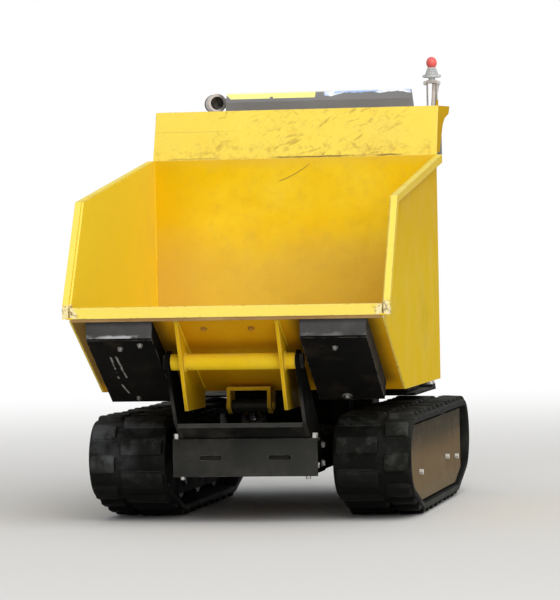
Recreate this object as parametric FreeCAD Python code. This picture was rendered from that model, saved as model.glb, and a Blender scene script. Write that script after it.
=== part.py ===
"""Tracked site dumper with a front-tipping skip, walk-behind, one closed solid or set of solids per node.

The machine faces -Y, up is +Z, and the origin is on the ground at the middle of its length and width.
Left and right are the machine's own, as its operator sees them from behind, so left is +X.
Sizes are in millimetres.
"""

import FreeCAD, Part
import math
import os

Vec = FreeCAD.Vector

# Whole machine
overall_width = 750.0
lip_overhang = 236.0          # skip lip ahead of the tracks
bar_overhang = 224.0          # ends of the grips behind the tracks
seat_gap = 0.3                # between pieces that bear on each other
pin_clearance = 0.05          # radial, pin in its bore
cut_over = 1.0                # how far a cutting shape runs past what it cuts
sharp = 0.01                  # radius that stands for a sharp corner

# Tracks
track_length = 1100.0
track_height = 246.0
track_share = 0.24            # width of one track, as a share of the overall width
track_end_radius = 102.0      # over the lugs, round the idler and the sprocket
ground_inset = 245.0          # from each end of the track to its first ground roller
carcass_thickness = 15.0
lug_height = 12.0
lug_length = 41.0             # along the track, at the lug's foot
lug_draft = 3.0               # the lug's tip is this much shorter at each end
lug_count = 31
lug_outer_share = 0.38        # of the track's width, in the column on the outer side

# Wheels inside a track
wheel_width = 70.0
roller_radius = 41.0
roller_count = 4
roller_pin_radius = 8.0
carrier_radius = 18.0
idler_hub_radius = 44.0
idler_groove = 24.0
idler_pin_radius = 12.0
pin_overhang = 5.0
sprocket_teeth = 9
sprocket_tooth_depth = 14.0

# Track frames and their outer covers
frame_plate = 6.0
frame_side_gap = 2.0          # wheel side to frame plate
frame_wheel_gap = 8.0         # beam to idler and sprocket
frame_skirt_gap = 14.0        # plates above the belt's inside
frame_beam_gap = 6.0          # beam above the ground rollers
frame_beam_height = 48.0
frame_beam_wall = 5.0
frame_nose_half = 20.0        # half the height of the plates at the idler's pin
frame_nose_back = 24.0        # plates ahead of the idler's pin
frame_nose_front = 40.0
frame_skirt_step = 8.0
frame_carrier_half = 20.0
frame_carrier_rise = 12.0
frame_arm_depth = 60.0
frame_arm_height = 40.0
cover_thickness = 4.0
cover_recess = 10.0           # cover behind the outer edge of the rubber
cover_edge_gap = 6.0
cover_rear_reach = 128.0      # from the cover's rear edge to the rear of the track
cover_bolt_radius = 7.0
cover_bolt_height = 9.5
cover_front_bolt = 220.0      # behind the front of the track
cover_mid_bolt = 414.0        # ahead of the rear of the track
cover_rear_bolt = 236.0
cover_bolt_drops = (43.0, 36.0, 46.0)   # below the wheels' axis, front to rear

# Main frame
rail_gap_share = 0.068        # rail to the track beside it, as a share of the overall width
rail_width = 40.0
rail_height = 80.0
rail_bottom_z = 110.0
rail_wall = 5.0
rail_front_reach = 21.0       # rails ahead of the tracks
rail_rear_inset = 24.0
tail_thickness = 8.0
tongue_width = 56.0
tongue_thickness = 12.0
tow_hole_radius = 10.5
tow_hole_reach = 20.0         # behind the tracks
cross_depth = 40.0
cross_inset = 10.0            # cross member inside the rail's height, above and below
front_cross_inset = 24.0      # behind the tracks' front
upright_thickness = 8.0
upright_boss_radius = 25.0
upright_rear_reach = 170.0    # behind the tracks' front
upright_knee_reach = 60.0
upright_knee_rise = 20.0
pivot_head_height = 7.0
pivot_head_overhang = 5.0
ear_to_cross = 46.0           # cylinder's base pin to the cross member that carries its ears
nose_z = 233.0                # top edge of the sloping apron
nose_reach = 80.0             # apron's top edge ahead of the tracks
apron_thickness = 5.0
apron_hem = 12.0
riser_inset = 4.0             # deck riser behind the deck's front edge

# Bumper
bumper_overhang = 23.0        # each side of the rails
bumper_height = 86.0
bumper_bottom_z = 109.0
bumper_thickness = 8.0
bumper_top_gap = 1.0
bumper_tab_length = 34.0
bumper_tab_thickness = 6.0
bumper_bolt_radius = 6.0
bumper_bolt_height = 10.0
bumper_slot_length = 52.0
bumper_slot_height = 10.0
bumper_slot_share = 0.479     # slot's middle, as a share of the bumper's half width

# Rear deck
deck_inset = 85.0             # each side, inside the tracks' outer edges
deck_thickness = 6.0
deck_gap = 12.0               # above the tracks
deck_front_gap = 16.0         # behind the skip
deck_rear_inset = 10.0        # deck short of the tracks' rear
shield_side_gap = 12.0        # front shield to the track beside it
shield_lift = 1.0             # above the rails
shield_top_z = 420.0

# Skip
skip_inset = 19.0             # side sheets inside the tracks' outer edges
skip_short = 174.0            # the skip's length from lip to back, less than the tracks' length
sheet = 4.0
lip_z = 502.0
lip_bar_height = 25.0
lip_bar_depth = 12.0
rim_overhang = 14.0           # bar along the side sheet's edges, outside the sheet
rim_depth = 20.0
rim_drop = 14.0               # rim's lower corner at the knee of the side sheet
skip_floor_z = 300.0          # underside
slope_foot_reach = 320.0      # from the lip back to the front edge of the floor
side_front_z = 740.0
side_front_reach = 158.0
skip_back_z = 850.0
headboard_z = 972.0
headboard_lean = 48.0
headboard_overlap = 8.0
headboard_flange = 32.0
headboard_flange_lift = 6.0
stiffener_depth = 82.0
stiffener_height = 30.0

# Tipping pivot
pivot_z = 375.0
pivot_reach = 96.0            # behind the lip
pivot_tube_radius = 18.5
pivot_pin_radius = 12.45
pivot_side_gap = 2.0
tube_fit = 0.05               # radial, pivot tube in its gussets
gusset_inset = 26.0           # outer face of a gusset inside the rail's outer face
gusset_thickness = 8.0
gusset_bottom_z = 264.0
gusset_front_reach = 116.0    # foot of the gusset's front edge behind the lip
gusset_rear_reach = 312.0

# Boxes under the slope, one over each track
slope_box_gap = 15.0          # to the upright beside it
slope_box_side_gap = 35.0     # to the side sheet
slope_box_front_height = 46.0
slope_box_rear_height = 55.0
slope_box_rear_reach = 256.0
slope_box_rear_lean = 26.0

# Tipping cylinder
rod_eye_reach = 292.0         # behind the lip
rod_eye_z = 266.0
rod_eye_radius = 15.0
cylinder_pin_radius = 9.0
cylinder_pin_overhang = 5.0
cylinder_eye_width = 84.0
cylinder_ear_gap = 1.0
cylinder_ear_thickness = 8.0
cylinder_ear_radius = 18.0
cylinder_base_reach = 450.0   # behind the lip
cylinder_base_z = 112.0
barrel_start = 16.0           # from the base pin, along the cylinder
gland_to_eye = 36.6           # end of the barrel to the rod's pin, with the skip down
stage_overhang = 8.0          # stage beyond the barrel, with the skip down
barrel_radius = 25.0
barrel_tail = 6.0             # barrel's flat end from the base pin
gland_rise = 3.0
stage_radius = 18.0
rod_radius = 12.0
tube_floor = 14.0             # closed end of the barrel and of the sliding stage
gland_length = 20.0
bracket_front_reach = 266.0   # behind the lip
bracket_heel = 8.0            # bracket behind the foot of the slope
bracket_bottom_z = 262.0
bracket_bridge_z = 303.0
bracket_bridge_thickness = 8.0
bracket_bridge_depth = 28.0

# Skip rests
rest_inset = 76.0             # rest ahead of the back of the skip
rest_pad_height = 14.0
rest_pad_length = 60.0

# Engine on the deck
engine_mount_height = 12.0
engine_foot_depth = 30.0
engine_foot_inset = 20.0
engine_reach = 183.0          # crankshaft behind the deck's front edge
engine_offset_x = -10.0
crank_height = 92.0
crank_radius = 12.0
crank_reach = 30.0
crankcase_width = 190.0
crankcase_depth = 180.0
crankcase_height = 150.0
crankcase_round = 12.0
head_width = 118.0
head_depth = 58.0
head_drop = 32.0              # fins start this far above the engine's feet
fin_count = 9
fin_thickness = 3.0
fin_pitch = 10.0
fin_depth = 12.0              # fins around the head's core
rocker_width = 84.0
rocker_depth = 24.0
rocker_height = 58.0
plug_radius = 7.0
plug_length = 34.0
fan_radius = 84.0
fan_depth = 56.0
fan_round = 10.0
fan_cup_share = 0.55
fan_cup_depth = 16.0
fan_slot_count = 10
fan_slot_width = 8.0
fan_slot_length = 22.0
fan_slot_depth = 5.0
tank_width = 250.0
tank_depth = 190.0
tank_height = 100.0
tank_gap = 30.0               # above the crankcase
tank_post_inset = 26.0
tank_round = 24.0
tank_seam = 3.0
tank_seam_height = 6.0
tank_cap_radius = 30.0
tank_cap_height = 20.0
tank_cap_offset = 40.0
upper_gap = 12.0              # muffler and filter behind the fuel tank
upper_rise = 128.0            # their undersides above the engine's feet
muffler_width = 108.0
muffler_depth = 68.0
muffler_height = 92.0
muffler_offset = 52.0         # its middle from the engine's
muffler_round = 12.0
muffler_slot_count = 6
muffler_slot_depth = 4.0
muffler_slot_height = 6.0
muffler_slot_pitch = 12.0
muffler_slot_margin = 16.0
outlet_radius = 11.0
outlet_reach = 24.0
filter_width = 92.0
filter_depth = 66.0
filter_height = 98.0
filter_offset = -56.0
filter_round = 10.0
filter_base_height = 16.0
filter_base_inset = 6.0
port_radius = 12.0
guard_gap = 4.0               # belt guard to the crankcase
guard_width = 44.0
guard_foot = 60.0
guard_top_radius = 70.0

# Gearbox
gearbox_side_gap = 19.0       # to each rail
gearbox_depth = 150.0
gearbox_height = 102.0
gearbox_lift = 1.0
gearbox_round = 14.0
axle_tube_radius = 26.0
axle_radius = 15.0
axle_cap_reach = 10.0
axle_cap_overhang = 12.0

# Hydraulic tank
oil_tank_side_gap = 20.0      # to the deck's edge
oil_tank_front_gap = 14.0
oil_tank_width = 96.0
oil_tank_depth = 210.0
oil_tank_height = 190.0
oil_tank_round = 8.0
oil_cap_radius = 22.0
oil_cap_height = 18.0
oil_cap_inset = 50.0

# Handlebars
bar_radius = 16.0
bar_inset = 117.0             # bar's middle inside the tracks' outer edges
bar_z = 955.0
bar_bend_radius = 80.0
bar_foot_inset = 34.0         # ahead of the tracks' rear
bar_lean = 30.0
bar_foot_half = 30.0
bar_foot_thickness = 8.0
bar_trim = 40.0
bar_end_inset = 2.0           # bar short of the end of its grip
grip_radius = 20.0
grip_length = 125.0

# Console and its levers
console_side_gap = 2.0        # to each bar
console_depth = 84.0
console_height = 200.0
console_z = 1031.0
console_chamfer = 24.0
console_rear_drop = 40.0
console_skin = 3.0
console_tab_reach = 14.0
console_tab_depth = 18.0
console_tab_height = 30.0
console_tab_rise = 20.0
lever_radius = 6.0
lever_drop = 66.0             # lever's foot below the top of the console
lever_spread = 120.0          # outer levers from the middle
lever_lean = 20.0
lever_reach = 95.0
lever_rise = 30.0
lever_ball_radius = 14.0

# Tipping valve outside the left handlebar
valve_width = 40.0
valve_depth = 70.0
valve_height = 90.0
valve_z = 930.0
valve_front = 40.0            # its front ahead of the console's middle
valve_round = 4.0
valve_lever_lead = 6.0
valve_leg_spread = 8.0
valve_fork_half = 15.0
valve_fork_depth = 8.0
valve_fork_drop = 52.0        # below the knob's middle
valve_fork_height = 10.0
valve_neck_radius = 9.0
valve_flange_radius = 24.0
valve_flange_drop = 38.0
valve_flange_height = 4.0
valve_gaiter_foot = 17.0
valve_gaiter_head = 12.0
valve_gaiter_height = 24.0
knob_z = 1096.0
knob_radius = 16.0

# Short document tube at the right end of the console
document_tube_radius = 23.0
document_tube_wall = 6.0
document_tube_length = 70.0
document_tube_turn = 20.0     # degrees, its mouth towards the machine's middle
document_tube_z = 1006.0
document_saddle_half = 12.0
document_saddle_depth = 24.0
document_saddle_lap = 14.0

# Places worked out from the sizes
overall_length = lip_overhang + track_length + bar_overhang
lip_y = -overall_length / 2
rear_y = overall_length / 2
track_front_y = lip_y + lip_overhang
track_rear_y = track_front_y + track_length
track_outer_x = overall_width / 2
track_width = overall_width * track_share
track_inner_x = track_outer_x - track_width
track_mid_x = (track_outer_x + track_inner_x) / 2
belt = lug_height + carcass_thickness
wheel_axis_z = track_height - track_end_radius
idler_y = track_front_y + track_end_radius
sprocket_y = track_rear_y - track_end_radius
first_roller_y = track_front_y + ground_inset
last_roller_y = track_rear_y - ground_inset
roller_z = belt + seat_gap + roller_radius
wheel_radius = track_end_radius - belt - seat_gap
wheel_x0 = track_mid_x - wheel_width / 2
wheel_x1 = track_mid_x + wheel_width / 2
plate_inner = wheel_width / 2 + frame_side_gap
pin_half = plate_inner + frame_plate + pin_overhang
rail_outer_x = track_inner_x - overall_width * rail_gap_share
rail_inner_x = rail_outer_x - rail_width
rail_top_z = rail_bottom_z + rail_height
rail_front_y = track_front_y - rail_front_reach
rail_rear_y = track_rear_y - rail_rear_inset
upright_outer_x = rail_outer_x + upright_thickness
bumper_half = rail_outer_x + bumper_overhang
bumper_top_z = bumper_bottom_z + bumper_height
pivot_y = lip_y + pivot_reach
skip_back_y = lip_y + track_length - skip_short
slope_foot_y = lip_y + slope_foot_reach
side_x = track_outer_x - skip_inset
inside_x = side_x - sheet
deck_half = track_outer_x - deck_inset
deck_z = track_height + deck_gap
deck_top_z = deck_z + deck_thickness
deck_front_y = skip_back_y + deck_front_gap
deck_rear_y = track_rear_y - deck_rear_inset
rod_eye_y = lip_y + rod_eye_reach
cylinder_base_y = lip_y + cylinder_base_reach
pin_distance = math.hypot(rod_eye_y - cylinder_base_y, rod_eye_z - cylinder_base_z)
barrel_end = pin_distance - gland_to_eye
stage_end = barrel_end + stage_overhang
ear_inner = cylinder_eye_width / 2 + cylinder_ear_gap
ear_outer = ear_inner + cylinder_ear_thickness
rest_y = skip_back_y - rest_inset
nose_y = track_front_y - nose_reach
tow_hole_y = track_rear_y + tow_hole_reach
engine_y = deck_front_y + engine_reach
engine_base_z = deck_top_z + engine_mount_height
crank_z = engine_base_z + crank_height
case_x0 = engine_offset_x - crankcase_width / 2
case_x1 = engine_offset_x + crankcase_width / 2
case_rear_y = engine_y + crankcase_depth / 2
upper_y = engine_y + tank_depth / 2 + upper_gap
upper_z = engine_base_z + upper_rise
bar_x = track_outer_x - bar_inset
bar_foot_y = track_rear_y - bar_foot_inset
console_mid_y = bar_foot_y + bar_lean
console_front_y = console_mid_y - console_depth / 2
console_rear_y = console_mid_y + console_depth / 2
console_half = bar_x - bar_radius - console_side_gap
console_bottom_z = console_z - console_height
valve_x = bar_x + bar_radius + seat_gap + valve_width / 2


def block(x0, x1, y0, y1, z0, z1):
    """An upright box between the given limits."""
    return Part.makeBox(x1 - x0, y1 - y0, z1 - z0, Vec(x0, y0, z0))


def rod_along_x(x0, x1, y, z, radius):
    return Part.makeCylinder(radius, x1 - x0, Vec(x0, y, z), Vec(1, 0, 0))


def rod_along_y(y0, y1, x, z, radius):
    return Part.makeCylinder(radius, y1 - y0, Vec(x, y0, z), Vec(0, 1, 0))


def rod_along_z(z0, z1, x, y, radius):
    return Part.makeCylinder(radius, z1 - z0, Vec(x, y, z0), Vec(0, 0, 1))


def rod_between(start, end, radius):
    return Part.makeCylinder(radius, (end - start).Length, start, end - start)


def side_profile(points, x0, x1):
    """A flat plate from x0 to x1 with an outline given as (y, z) points."""
    corners = [Vec(x0, y, z) for y, z in points]
    wire = Part.makePolygon(corners + corners[:1])
    return Part.Face(wire).extrude(Vec(x1 - x0, 0, 0))


def fuse(pieces):
    whole = pieces[0].fuse(pieces[1:]) if len(pieces) > 1 else pieces[0]
    return whole.removeSplitter()


def mirrored(shape):
    return shape.mirror(Vec(0, 0, 0), Vec(1, 0, 0))


def both_sides(shape):
    return [shape, mirrored(shape)]


def rounded(shape, radius, keep=lambda edge: True):
    return shape.makeFillet(radius, [edge for edge in shape.Edges if keep(edge)])


def upright_edge(edge):
    return abs(edge.tangentAt(edge.FirstParameter).z) > 0.9


# Belts round circles, each circle given as (y, z, radius) and in order from the front of the ground run

def run_normals(circles):
    """Outward directions of the belt's straight runs, one after each circle."""
    normals = []
    for (y1, z1, r1), (y2, z2, r2) in zip(circles, circles[1:] + circles[:1]):
        along = Vec(0, y2 - y1, z2 - z1)
        share = (r1 - r2) / along.Length
        along.normalize()
        outward = Vec(0, along.z, -along.y)
        normals.append(along * share + outward * math.sqrt(1 - share * share))
    return normals


def hull_of_circles(circles, x0, x1):
    """A solid from x0 to x1 whose outline is a belt pulled tight round the circles."""
    normals = run_normals(circles)
    edges = []
    for i, (y, z, radius) in enumerate(circles):
        centre = Vec(x0, y, z)
        before, after = normals[i - 1], normals[i]
        middle = (before + after).normalize()
        start, end = centre + before * radius, centre + after * radius
        if (end - start).Length > sharp / 100:
            edges.append(Part.Arc(start, centre + middle * radius, end).toShape())
        y2, z2, r2 = circles[(i + 1) % len(circles)]
        edges.append(Part.LineSegment(end, Vec(x0, y2, z2) + after * r2).toShape())
    return Part.Face(Part.Wire(edges)).extrude(Vec(x1 - x0, 0, 0))


def belt_spans(circles):
    """The belt as (start point, start normal, length, radius) of each arc and run, radius 0 for a run."""
    normals = run_normals(circles)
    spans = []
    for i, (y, z, radius) in enumerate(circles):
        before, after = normals[i - 1], normals[i]
        centre = Vec(0, y, z)
        spans.append((centre + before * radius, before, radius * before.getAngle(after), radius))
        y2, z2, r2 = circles[(i + 1) % len(circles)]
        run = Vec(0, y2, z2) + after * r2 - centre - after * radius
        spans.append((centre + after * radius, after, run.Length, 0))
    return spans


def belt_point(spans, distance, height):
    """(y, z) at a distance along the belt and a height above its surface."""
    distance %= sum(length for start, normal, length, radius in spans)
    for start, normal, length, radius in spans:
        if distance <= length:
            break
        distance -= length
    if radius:
        angle = math.atan2(normal.z, normal.y) + distance / radius
        centre = start - normal * radius
        reach = radius + height
        return centre.y + reach * math.cos(angle), centre.z + reach * math.sin(angle)
    y = start.y - normal.z * distance + normal.y * height
    z = start.z + normal.y * distance + normal.z * height
    return y, z


def bent_tube(points, bend_radius, radius):
    """A round bar along straight runs between points, with a bend of one radius at each corner."""
    edges = []
    start = points[0]
    for before, corner, after in zip(points, points[1:], points[2:]):
        to_before = (before - corner).normalize()
        to_after = (after - corner).normalize()
        half_turn = (math.pi - to_before.getAngle(to_after)) / 2
        reach = bend_radius * math.tan(half_turn)
        first, last = corner + to_before * reach, corner + to_after * reach
        to_centre = (to_before + to_after).normalize()
        centre = corner + to_centre * (bend_radius / math.cos(half_turn))
        edges.append(Part.LineSegment(start, first).toShape())
        edges.append(Part.Arc(first, centre - to_centre * bend_radius, last).toShape())
        start = last
    edges.append(Part.LineSegment(start, points[-1]).toShape())
    path = Part.Wire(edges)
    direction = points[1] - points[0]
    ring = Part.Wire(Part.Circle(points[0], direction, radius).toShape())
    return path.makePipeShell([ring], True, False)


# Tracks and running gear

def track_circles(inset):
    """The circles that the belt is pulled round, taken in by inset from the lugs' tips."""
    corner = roller_radius + seat_gap + belt - inset
    end = track_end_radius - inset
    return [(first_roller_y, roller_z, corner), (last_roller_y, roller_z, corner),
            (sprocket_y, wheel_axis_z, end), (idler_y, wheel_axis_z, end)]


def lug_column(phase, x0, x1):
    """A slice of the track from x0 to x1 with its lugs, the first one phase of a pitch along."""
    spans = belt_spans(track_circles(lug_height))
    pitch = sum(length for start, normal, length, radius in spans) / lug_count
    half = lug_length / 2
    steps = [(-half, 0), (lug_draft - half, lug_height), (0, lug_height), (half - lug_draft, lug_height),
             (half, 0), (pitch / 2, 0)]
    points = []
    for i in range(lug_count):
        middle = (i + phase) * pitch
        points += [belt_point(spans, middle + along, height) for along, height in steps]
    return side_profile(points, x0, x1)


def track():
    """One endless rubber track: its carcass with two staggered columns of lugs."""
    column_x = track_outer_x - track_width * lug_outer_share
    columns = fuse([lug_column(0, track_inner_x, column_x), lug_column(0.5, column_x, track_outer_x)])
    inside = hull_of_circles(track_circles(belt), track_inner_x - cut_over, track_outer_x + cut_over)
    return columns.cut(inside)


def idler():
    """The plain front wheel: two rims on a hub, open between for the track's guides."""
    wheel = rod_along_x(wheel_x0, wheel_x1, idler_y, wheel_axis_z, wheel_radius)
    groove_x = track_mid_x - idler_groove / 2
    groove = rod_along_x(groove_x, groove_x + idler_groove, idler_y, wheel_axis_z, wheel_radius + cut_over)
    hub = rod_along_x(wheel_x0, wheel_x1, idler_y, wheel_axis_z, idler_hub_radius)
    pin = rod_along_x(track_mid_x - pin_half, track_mid_x + pin_half, idler_y, wheel_axis_z, idler_pin_radius)
    return fuse([wheel.cut(groove.cut(hub)), pin])


def sprocket():
    """The toothed rear wheel on its axle."""
    wheel = rod_along_x(wheel_x0, wheel_x1, sprocket_y, wheel_axis_z, wheel_radius)
    gaps = []
    for i in range(sprocket_teeth):
        angle = 2 * math.pi * (i + 0.5) / sprocket_teeth
        y = sprocket_y + wheel_radius * math.cos(angle)
        z = wheel_axis_z + wheel_radius * math.sin(angle)
        gaps.append(rod_along_x(wheel_x0, wheel_x1, y, z, sprocket_tooth_depth))
    bore = rod_along_x(wheel_x0, wheel_x1, sprocket_y, wheel_axis_z, axle_radius + pin_clearance)
    return wheel.cut(gaps + [bore])


def roller_ys():
    step = (last_roller_y - first_roller_y) / (roller_count - 1)
    return [first_roller_y + step * i for i in range(roller_count)]


def carrier_place():
    return (idler_y + sprocket_y) / 2, track_height - belt - seat_gap - carrier_radius


def wheels():
    """The idler, the ground rollers and the carrier roller of one track, each with its pin."""
    carrier_y, carrier_z = carrier_place()
    places = [(y, roller_z, roller_radius) for y in roller_ys()] + [(carrier_y, carrier_z, carrier_radius)]
    made = [idler()]
    for y, z, radius in places:
        drum = rod_along_x(wheel_x0, wheel_x1, y, z, radius)
        pin = rod_along_x(track_mid_x - pin_half, track_mid_x + pin_half, y, z, roller_pin_radius)
        made.append(fuse([drum, pin]))
    return Part.makeCompound(made)


def frame_arm_ys():
    step = (last_roller_y - first_roller_y) / (roller_count - 1)
    return [first_roller_y + step / 2, last_roller_y - step / 2]


def track_frame():
    """The beam inside one track, with arms to the main frame, pin holes and spacers for the cover."""
    carrier_y, carrier_z = carrier_place()
    skirt_z = belt + frame_skirt_gap
    beam_z0 = roller_z + roller_radius + frame_beam_gap
    beam_z1 = beam_z0 + frame_beam_height
    front_y = idler_y + wheel_radius + frame_wheel_gap
    back_y = sprocket_y - wheel_radius - frame_wheel_gap
    nose_y0, nose_y1 = idler_y - frame_nose_back, idler_y + frame_nose_front
    nose_z0, nose_z1 = wheel_axis_z - frame_nose_half, wheel_axis_z + frame_nose_half
    toe, step = frame_nose_back, frame_skirt_step
    outline = [(nose_y0, nose_z0), (nose_y1, nose_z0), (first_roller_y - toe, skirt_z + step),
               (first_roller_y - step, skirt_z), (last_roller_y + step, skirt_z),
               (last_roller_y + toe, skirt_z + step), (back_y, beam_z0), (back_y, beam_z1),
               (nose_y1, beam_z1), (nose_y0, nose_z1)]
    inner, outer = track_mid_x - plate_inner, track_mid_x + plate_inner
    pieces = []
    for x0 in (inner - frame_plate, outer):
        pieces.append(side_profile(outline, x0, x0 + frame_plate))
        pieces.append(block(x0, x0 + frame_plate, carrier_y - frame_carrier_half,
                            carrier_y + frame_carrier_half, beam_z1 - cut_over,
                            carrier_z + frame_carrier_rise))
    gap = carrier_radius + frame_beam_gap
    pieces.append(block(inner, outer, front_y, back_y, beam_z0, beam_z0 + frame_beam_wall))
    for y0, y1 in ((front_y, carrier_y - gap), (carrier_y + gap, back_y)):
        pieces.append(block(inner, outer, y0, y1, beam_z1 - frame_beam_wall, beam_z1))
    for y in frame_arm_ys():
        pieces.append(block(rail_outer_x, inner, y - frame_arm_depth / 2, y + frame_arm_depth / 2,
                            beam_z1 - frame_arm_height, beam_z1))
    spacer_end = track_outer_x - cover_recess - cover_thickness
    for y, z in cover_bolt_places():
        pieces.append(rod_along_x(outer + frame_plate - cut_over, spacer_end, y, z, cover_bolt_radius))
    x0, x1 = inner - frame_plate - cut_over, outer + frame_plate + cut_over
    holes = [rod_along_x(x0, x1, y, roller_z, roller_pin_radius + pin_clearance) for y in roller_ys()]
    holes.append(rod_along_x(x0, x1, carrier_y, carrier_z, roller_pin_radius + pin_clearance))
    holes.append(rod_along_x(x0, x1, idler_y, wheel_axis_z, idler_pin_radius + pin_clearance))
    return fuse(pieces).cut(holes)


def cover_bolt_places():
    """(y, z) of the bolts that hold a track's outer cover."""
    ys = (track_front_y + cover_front_bolt, track_rear_y - cover_mid_bolt, track_rear_y - cover_rear_bolt)
    return [(y, wheel_axis_z - drop) for y, drop in zip(ys, cover_bolt_drops)]


def track_cover():
    """The flat plate that closes the outer side of a track, with its bolt heads."""
    x1 = track_outer_x - cover_recess
    x0 = x1 - cover_thickness
    plate = hull_of_circles(track_circles(belt + cover_edge_gap), x0, x1)
    rear_cut = block(x0 - cut_over, x1 + cut_over, track_rear_y - cover_rear_reach, track_rear_y,
                     0, track_height)
    heads = [hex_head(x1, y, z, cover_bolt_radius, cover_bolt_height) for y, z in cover_bolt_places()]
    return fuse([plate.cut(rear_cut)] + heads)


def hex_head(x, y, z, radius, height):
    """A hexagon bolt head standing out along +X from x."""
    angles = [math.pi * i / 3 for i in range(6)]
    return side_profile([(y + radius * math.cos(a), z + radius * math.sin(a)) for a in angles], x, x + height)


# Main frame

def upright():
    """One pivot plate: from the rail up and forward to the tipping pivot."""
    x0, x1 = rail_outer_x, upright_outer_x
    back_y = track_front_y + upright_rear_reach
    knee = (back_y - upright_knee_reach, rail_top_z + upright_knee_rise)
    head = hull_of_circles([(pivot_y, pivot_z, upright_boss_radius), (nose_y, nose_z, sharp),
                            (knee[0], knee[1], sharp)], x0, x1)
    foot = side_profile([(nose_y, nose_z), (rail_front_y, bumper_top_z + bumper_top_gap),
                         (rail_front_y, rail_bottom_z), (back_y, rail_bottom_z), (back_y, rail_top_z), knee],
                        x0, x1)
    hole = rod_along_x(x0 - cut_over, x1 + cut_over, pivot_y, pivot_z, pivot_pin_radius + pin_clearance)
    return fuse([head, foot]).cut(hole)


def rail():
    """One hollow rail on the left, with the hole for the axle tube."""
    solid = block(rail_inner_x, rail_outer_x, rail_front_y, rail_rear_y, rail_bottom_z, rail_top_z)
    hollow = block(rail_inner_x + rail_wall, rail_outer_x - rail_wall, rail_front_y - cut_over,
                   rail_rear_y + cut_over, rail_bottom_z + rail_wall, rail_top_z - rail_wall)
    axle = rod_along_x(rail_inner_x - cut_over, rail_outer_x + cut_over, sprocket_y, wheel_axis_z,
                       axle_tube_radius + seat_gap)
    return solid.cut([hollow, axle])


def apron():
    """The sloping plate from the rails up and forward, with a hem along its top."""
    low_z = bumper_top_z + bumper_top_gap
    inside_y = rail_front_y + apron_thickness
    hem_y = nose_y + apron_hem
    points = [(nose_y, nose_z), (rail_front_y, low_z), (rail_front_y, rail_top_z), (inside_y, rail_top_z),
              (inside_y, low_z), (hem_y, nose_z - apron_thickness), (hem_y, nose_z)]
    return side_profile(points, -rail_outer_x, rail_outer_x)


def tongue():
    """The flat rear tongue with its tow hole."""
    z0 = (rail_bottom_z + rail_top_z) / 2 - tongue_thickness / 2
    z1 = z0 + tongue_thickness
    half = tongue_width / 2
    plate = block(-half, half, rail_rear_y, tow_hole_y + half, z0, z1)
    return plate.cut(rod_along_z(z0, z1, 0, tow_hole_y, tow_hole_radius))


def main_frame():
    """Rails, cross members, apron, tail, deck risers, rest posts and cylinder ears, welded together."""
    cross_z0, cross_z1 = rail_bottom_z + cross_inset, rail_top_z - cross_inset
    ear_foot_y = cylinder_base_y + ear_to_cross
    pieces = both_sides(rail())
    for y in (track_front_y + front_cross_inset, ear_foot_y, rest_y - cross_depth / 2):
        pieces.append(block(-rail_inner_x, rail_inner_x, y, y + cross_depth, cross_z0, cross_z1))
    pieces.append(apron())
    pieces.append(block(-rail_outer_x, rail_outer_x, rail_rear_y, rail_rear_y + tail_thickness,
                        rail_bottom_z, rail_top_z))
    pieces.append(tongue())
    pieces += both_sides(block(rail_inner_x, rail_outer_x, deck_front_y + riser_inset, rail_rear_y,
                               rail_top_z, deck_z))
    pad_half = rest_pad_length / 2
    pieces += both_sides(block(rail_inner_x, rail_outer_x, rest_y - pad_half, rest_y + pad_half,
                               rail_top_z, skip_floor_z - rest_pad_height - seat_gap))
    pieces += both_sides(hull_of_circles([(cylinder_base_y, cylinder_base_z, cylinder_ear_radius),
                                          (ear_foot_y, cross_z0, sharp), (ear_foot_y, cross_z1, sharp)],
                                         ear_inner, ear_outer))
    reach = ear_outer + cut_over
    bore = rod_along_x(-reach, reach, cylinder_base_y, cylinder_base_z, cylinder_pin_radius + pin_clearance)
    return fuse(pieces).cut(bore)


def bumper():
    """The front plate between the tracks, with a bolted tab at each end and two slots."""
    y1 = rail_front_y
    y0 = y1 - bumper_thickness
    slot_z = bumper_bottom_z + bumper_height / 2
    slot_radius = bumper_slot_height / 2
    slot_x = bumper_half * bumper_slot_share
    straight = bumper_slot_length / 2 - slot_radius
    slot = [block(slot_x - straight, slot_x + straight, y0 - cut_over, y1 + cut_over,
                  slot_z - slot_radius, slot_z + slot_radius)]
    for x in (slot_x - straight, slot_x + straight):
        slot.append(rod_along_y(y0 - cut_over, y1 + cut_over, x, slot_z, slot_radius))
    tab = block(upright_outer_x, bumper_half, y0, y1 + bumper_tab_length,
                bumper_top_z - bumper_tab_thickness, bumper_top_z)
    bolt = rod_along_z(bumper_top_z, bumper_top_z + bumper_bolt_height, (upright_outer_x + bumper_half) / 2,
                       y1 + bumper_bolt_radius, bumper_bolt_radius)
    plate = block(-bumper_half, bumper_half, y0, y1, bumper_bottom_z, bumper_top_z)
    return fuse([plate] + both_sides(fuse([tab, bolt]))).cut(both_sides(fuse(slot)))


def deck():
    """The plate over the tracks' rear that carries the engine, with a shield across its front."""
    plate = block(-deck_half, deck_half, deck_front_y, deck_rear_y, deck_z, deck_top_z)
    half = track_inner_x - shield_side_gap
    shield = block(-half, half, deck_front_y, deck_front_y + riser_inset - seat_gap,
                   rail_top_z + shield_lift, shield_top_z)
    return fuse([plate, shield])


def rest_pads():
    z1 = skip_floor_z - seat_gap
    pad_half = rest_pad_length / 2
    pad = block(rail_inner_x, rail_outer_x, rest_y - pad_half, rest_y + pad_half, z1 - rest_pad_height, z1)
    return Part.makeCompound(both_sides(pad))


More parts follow.
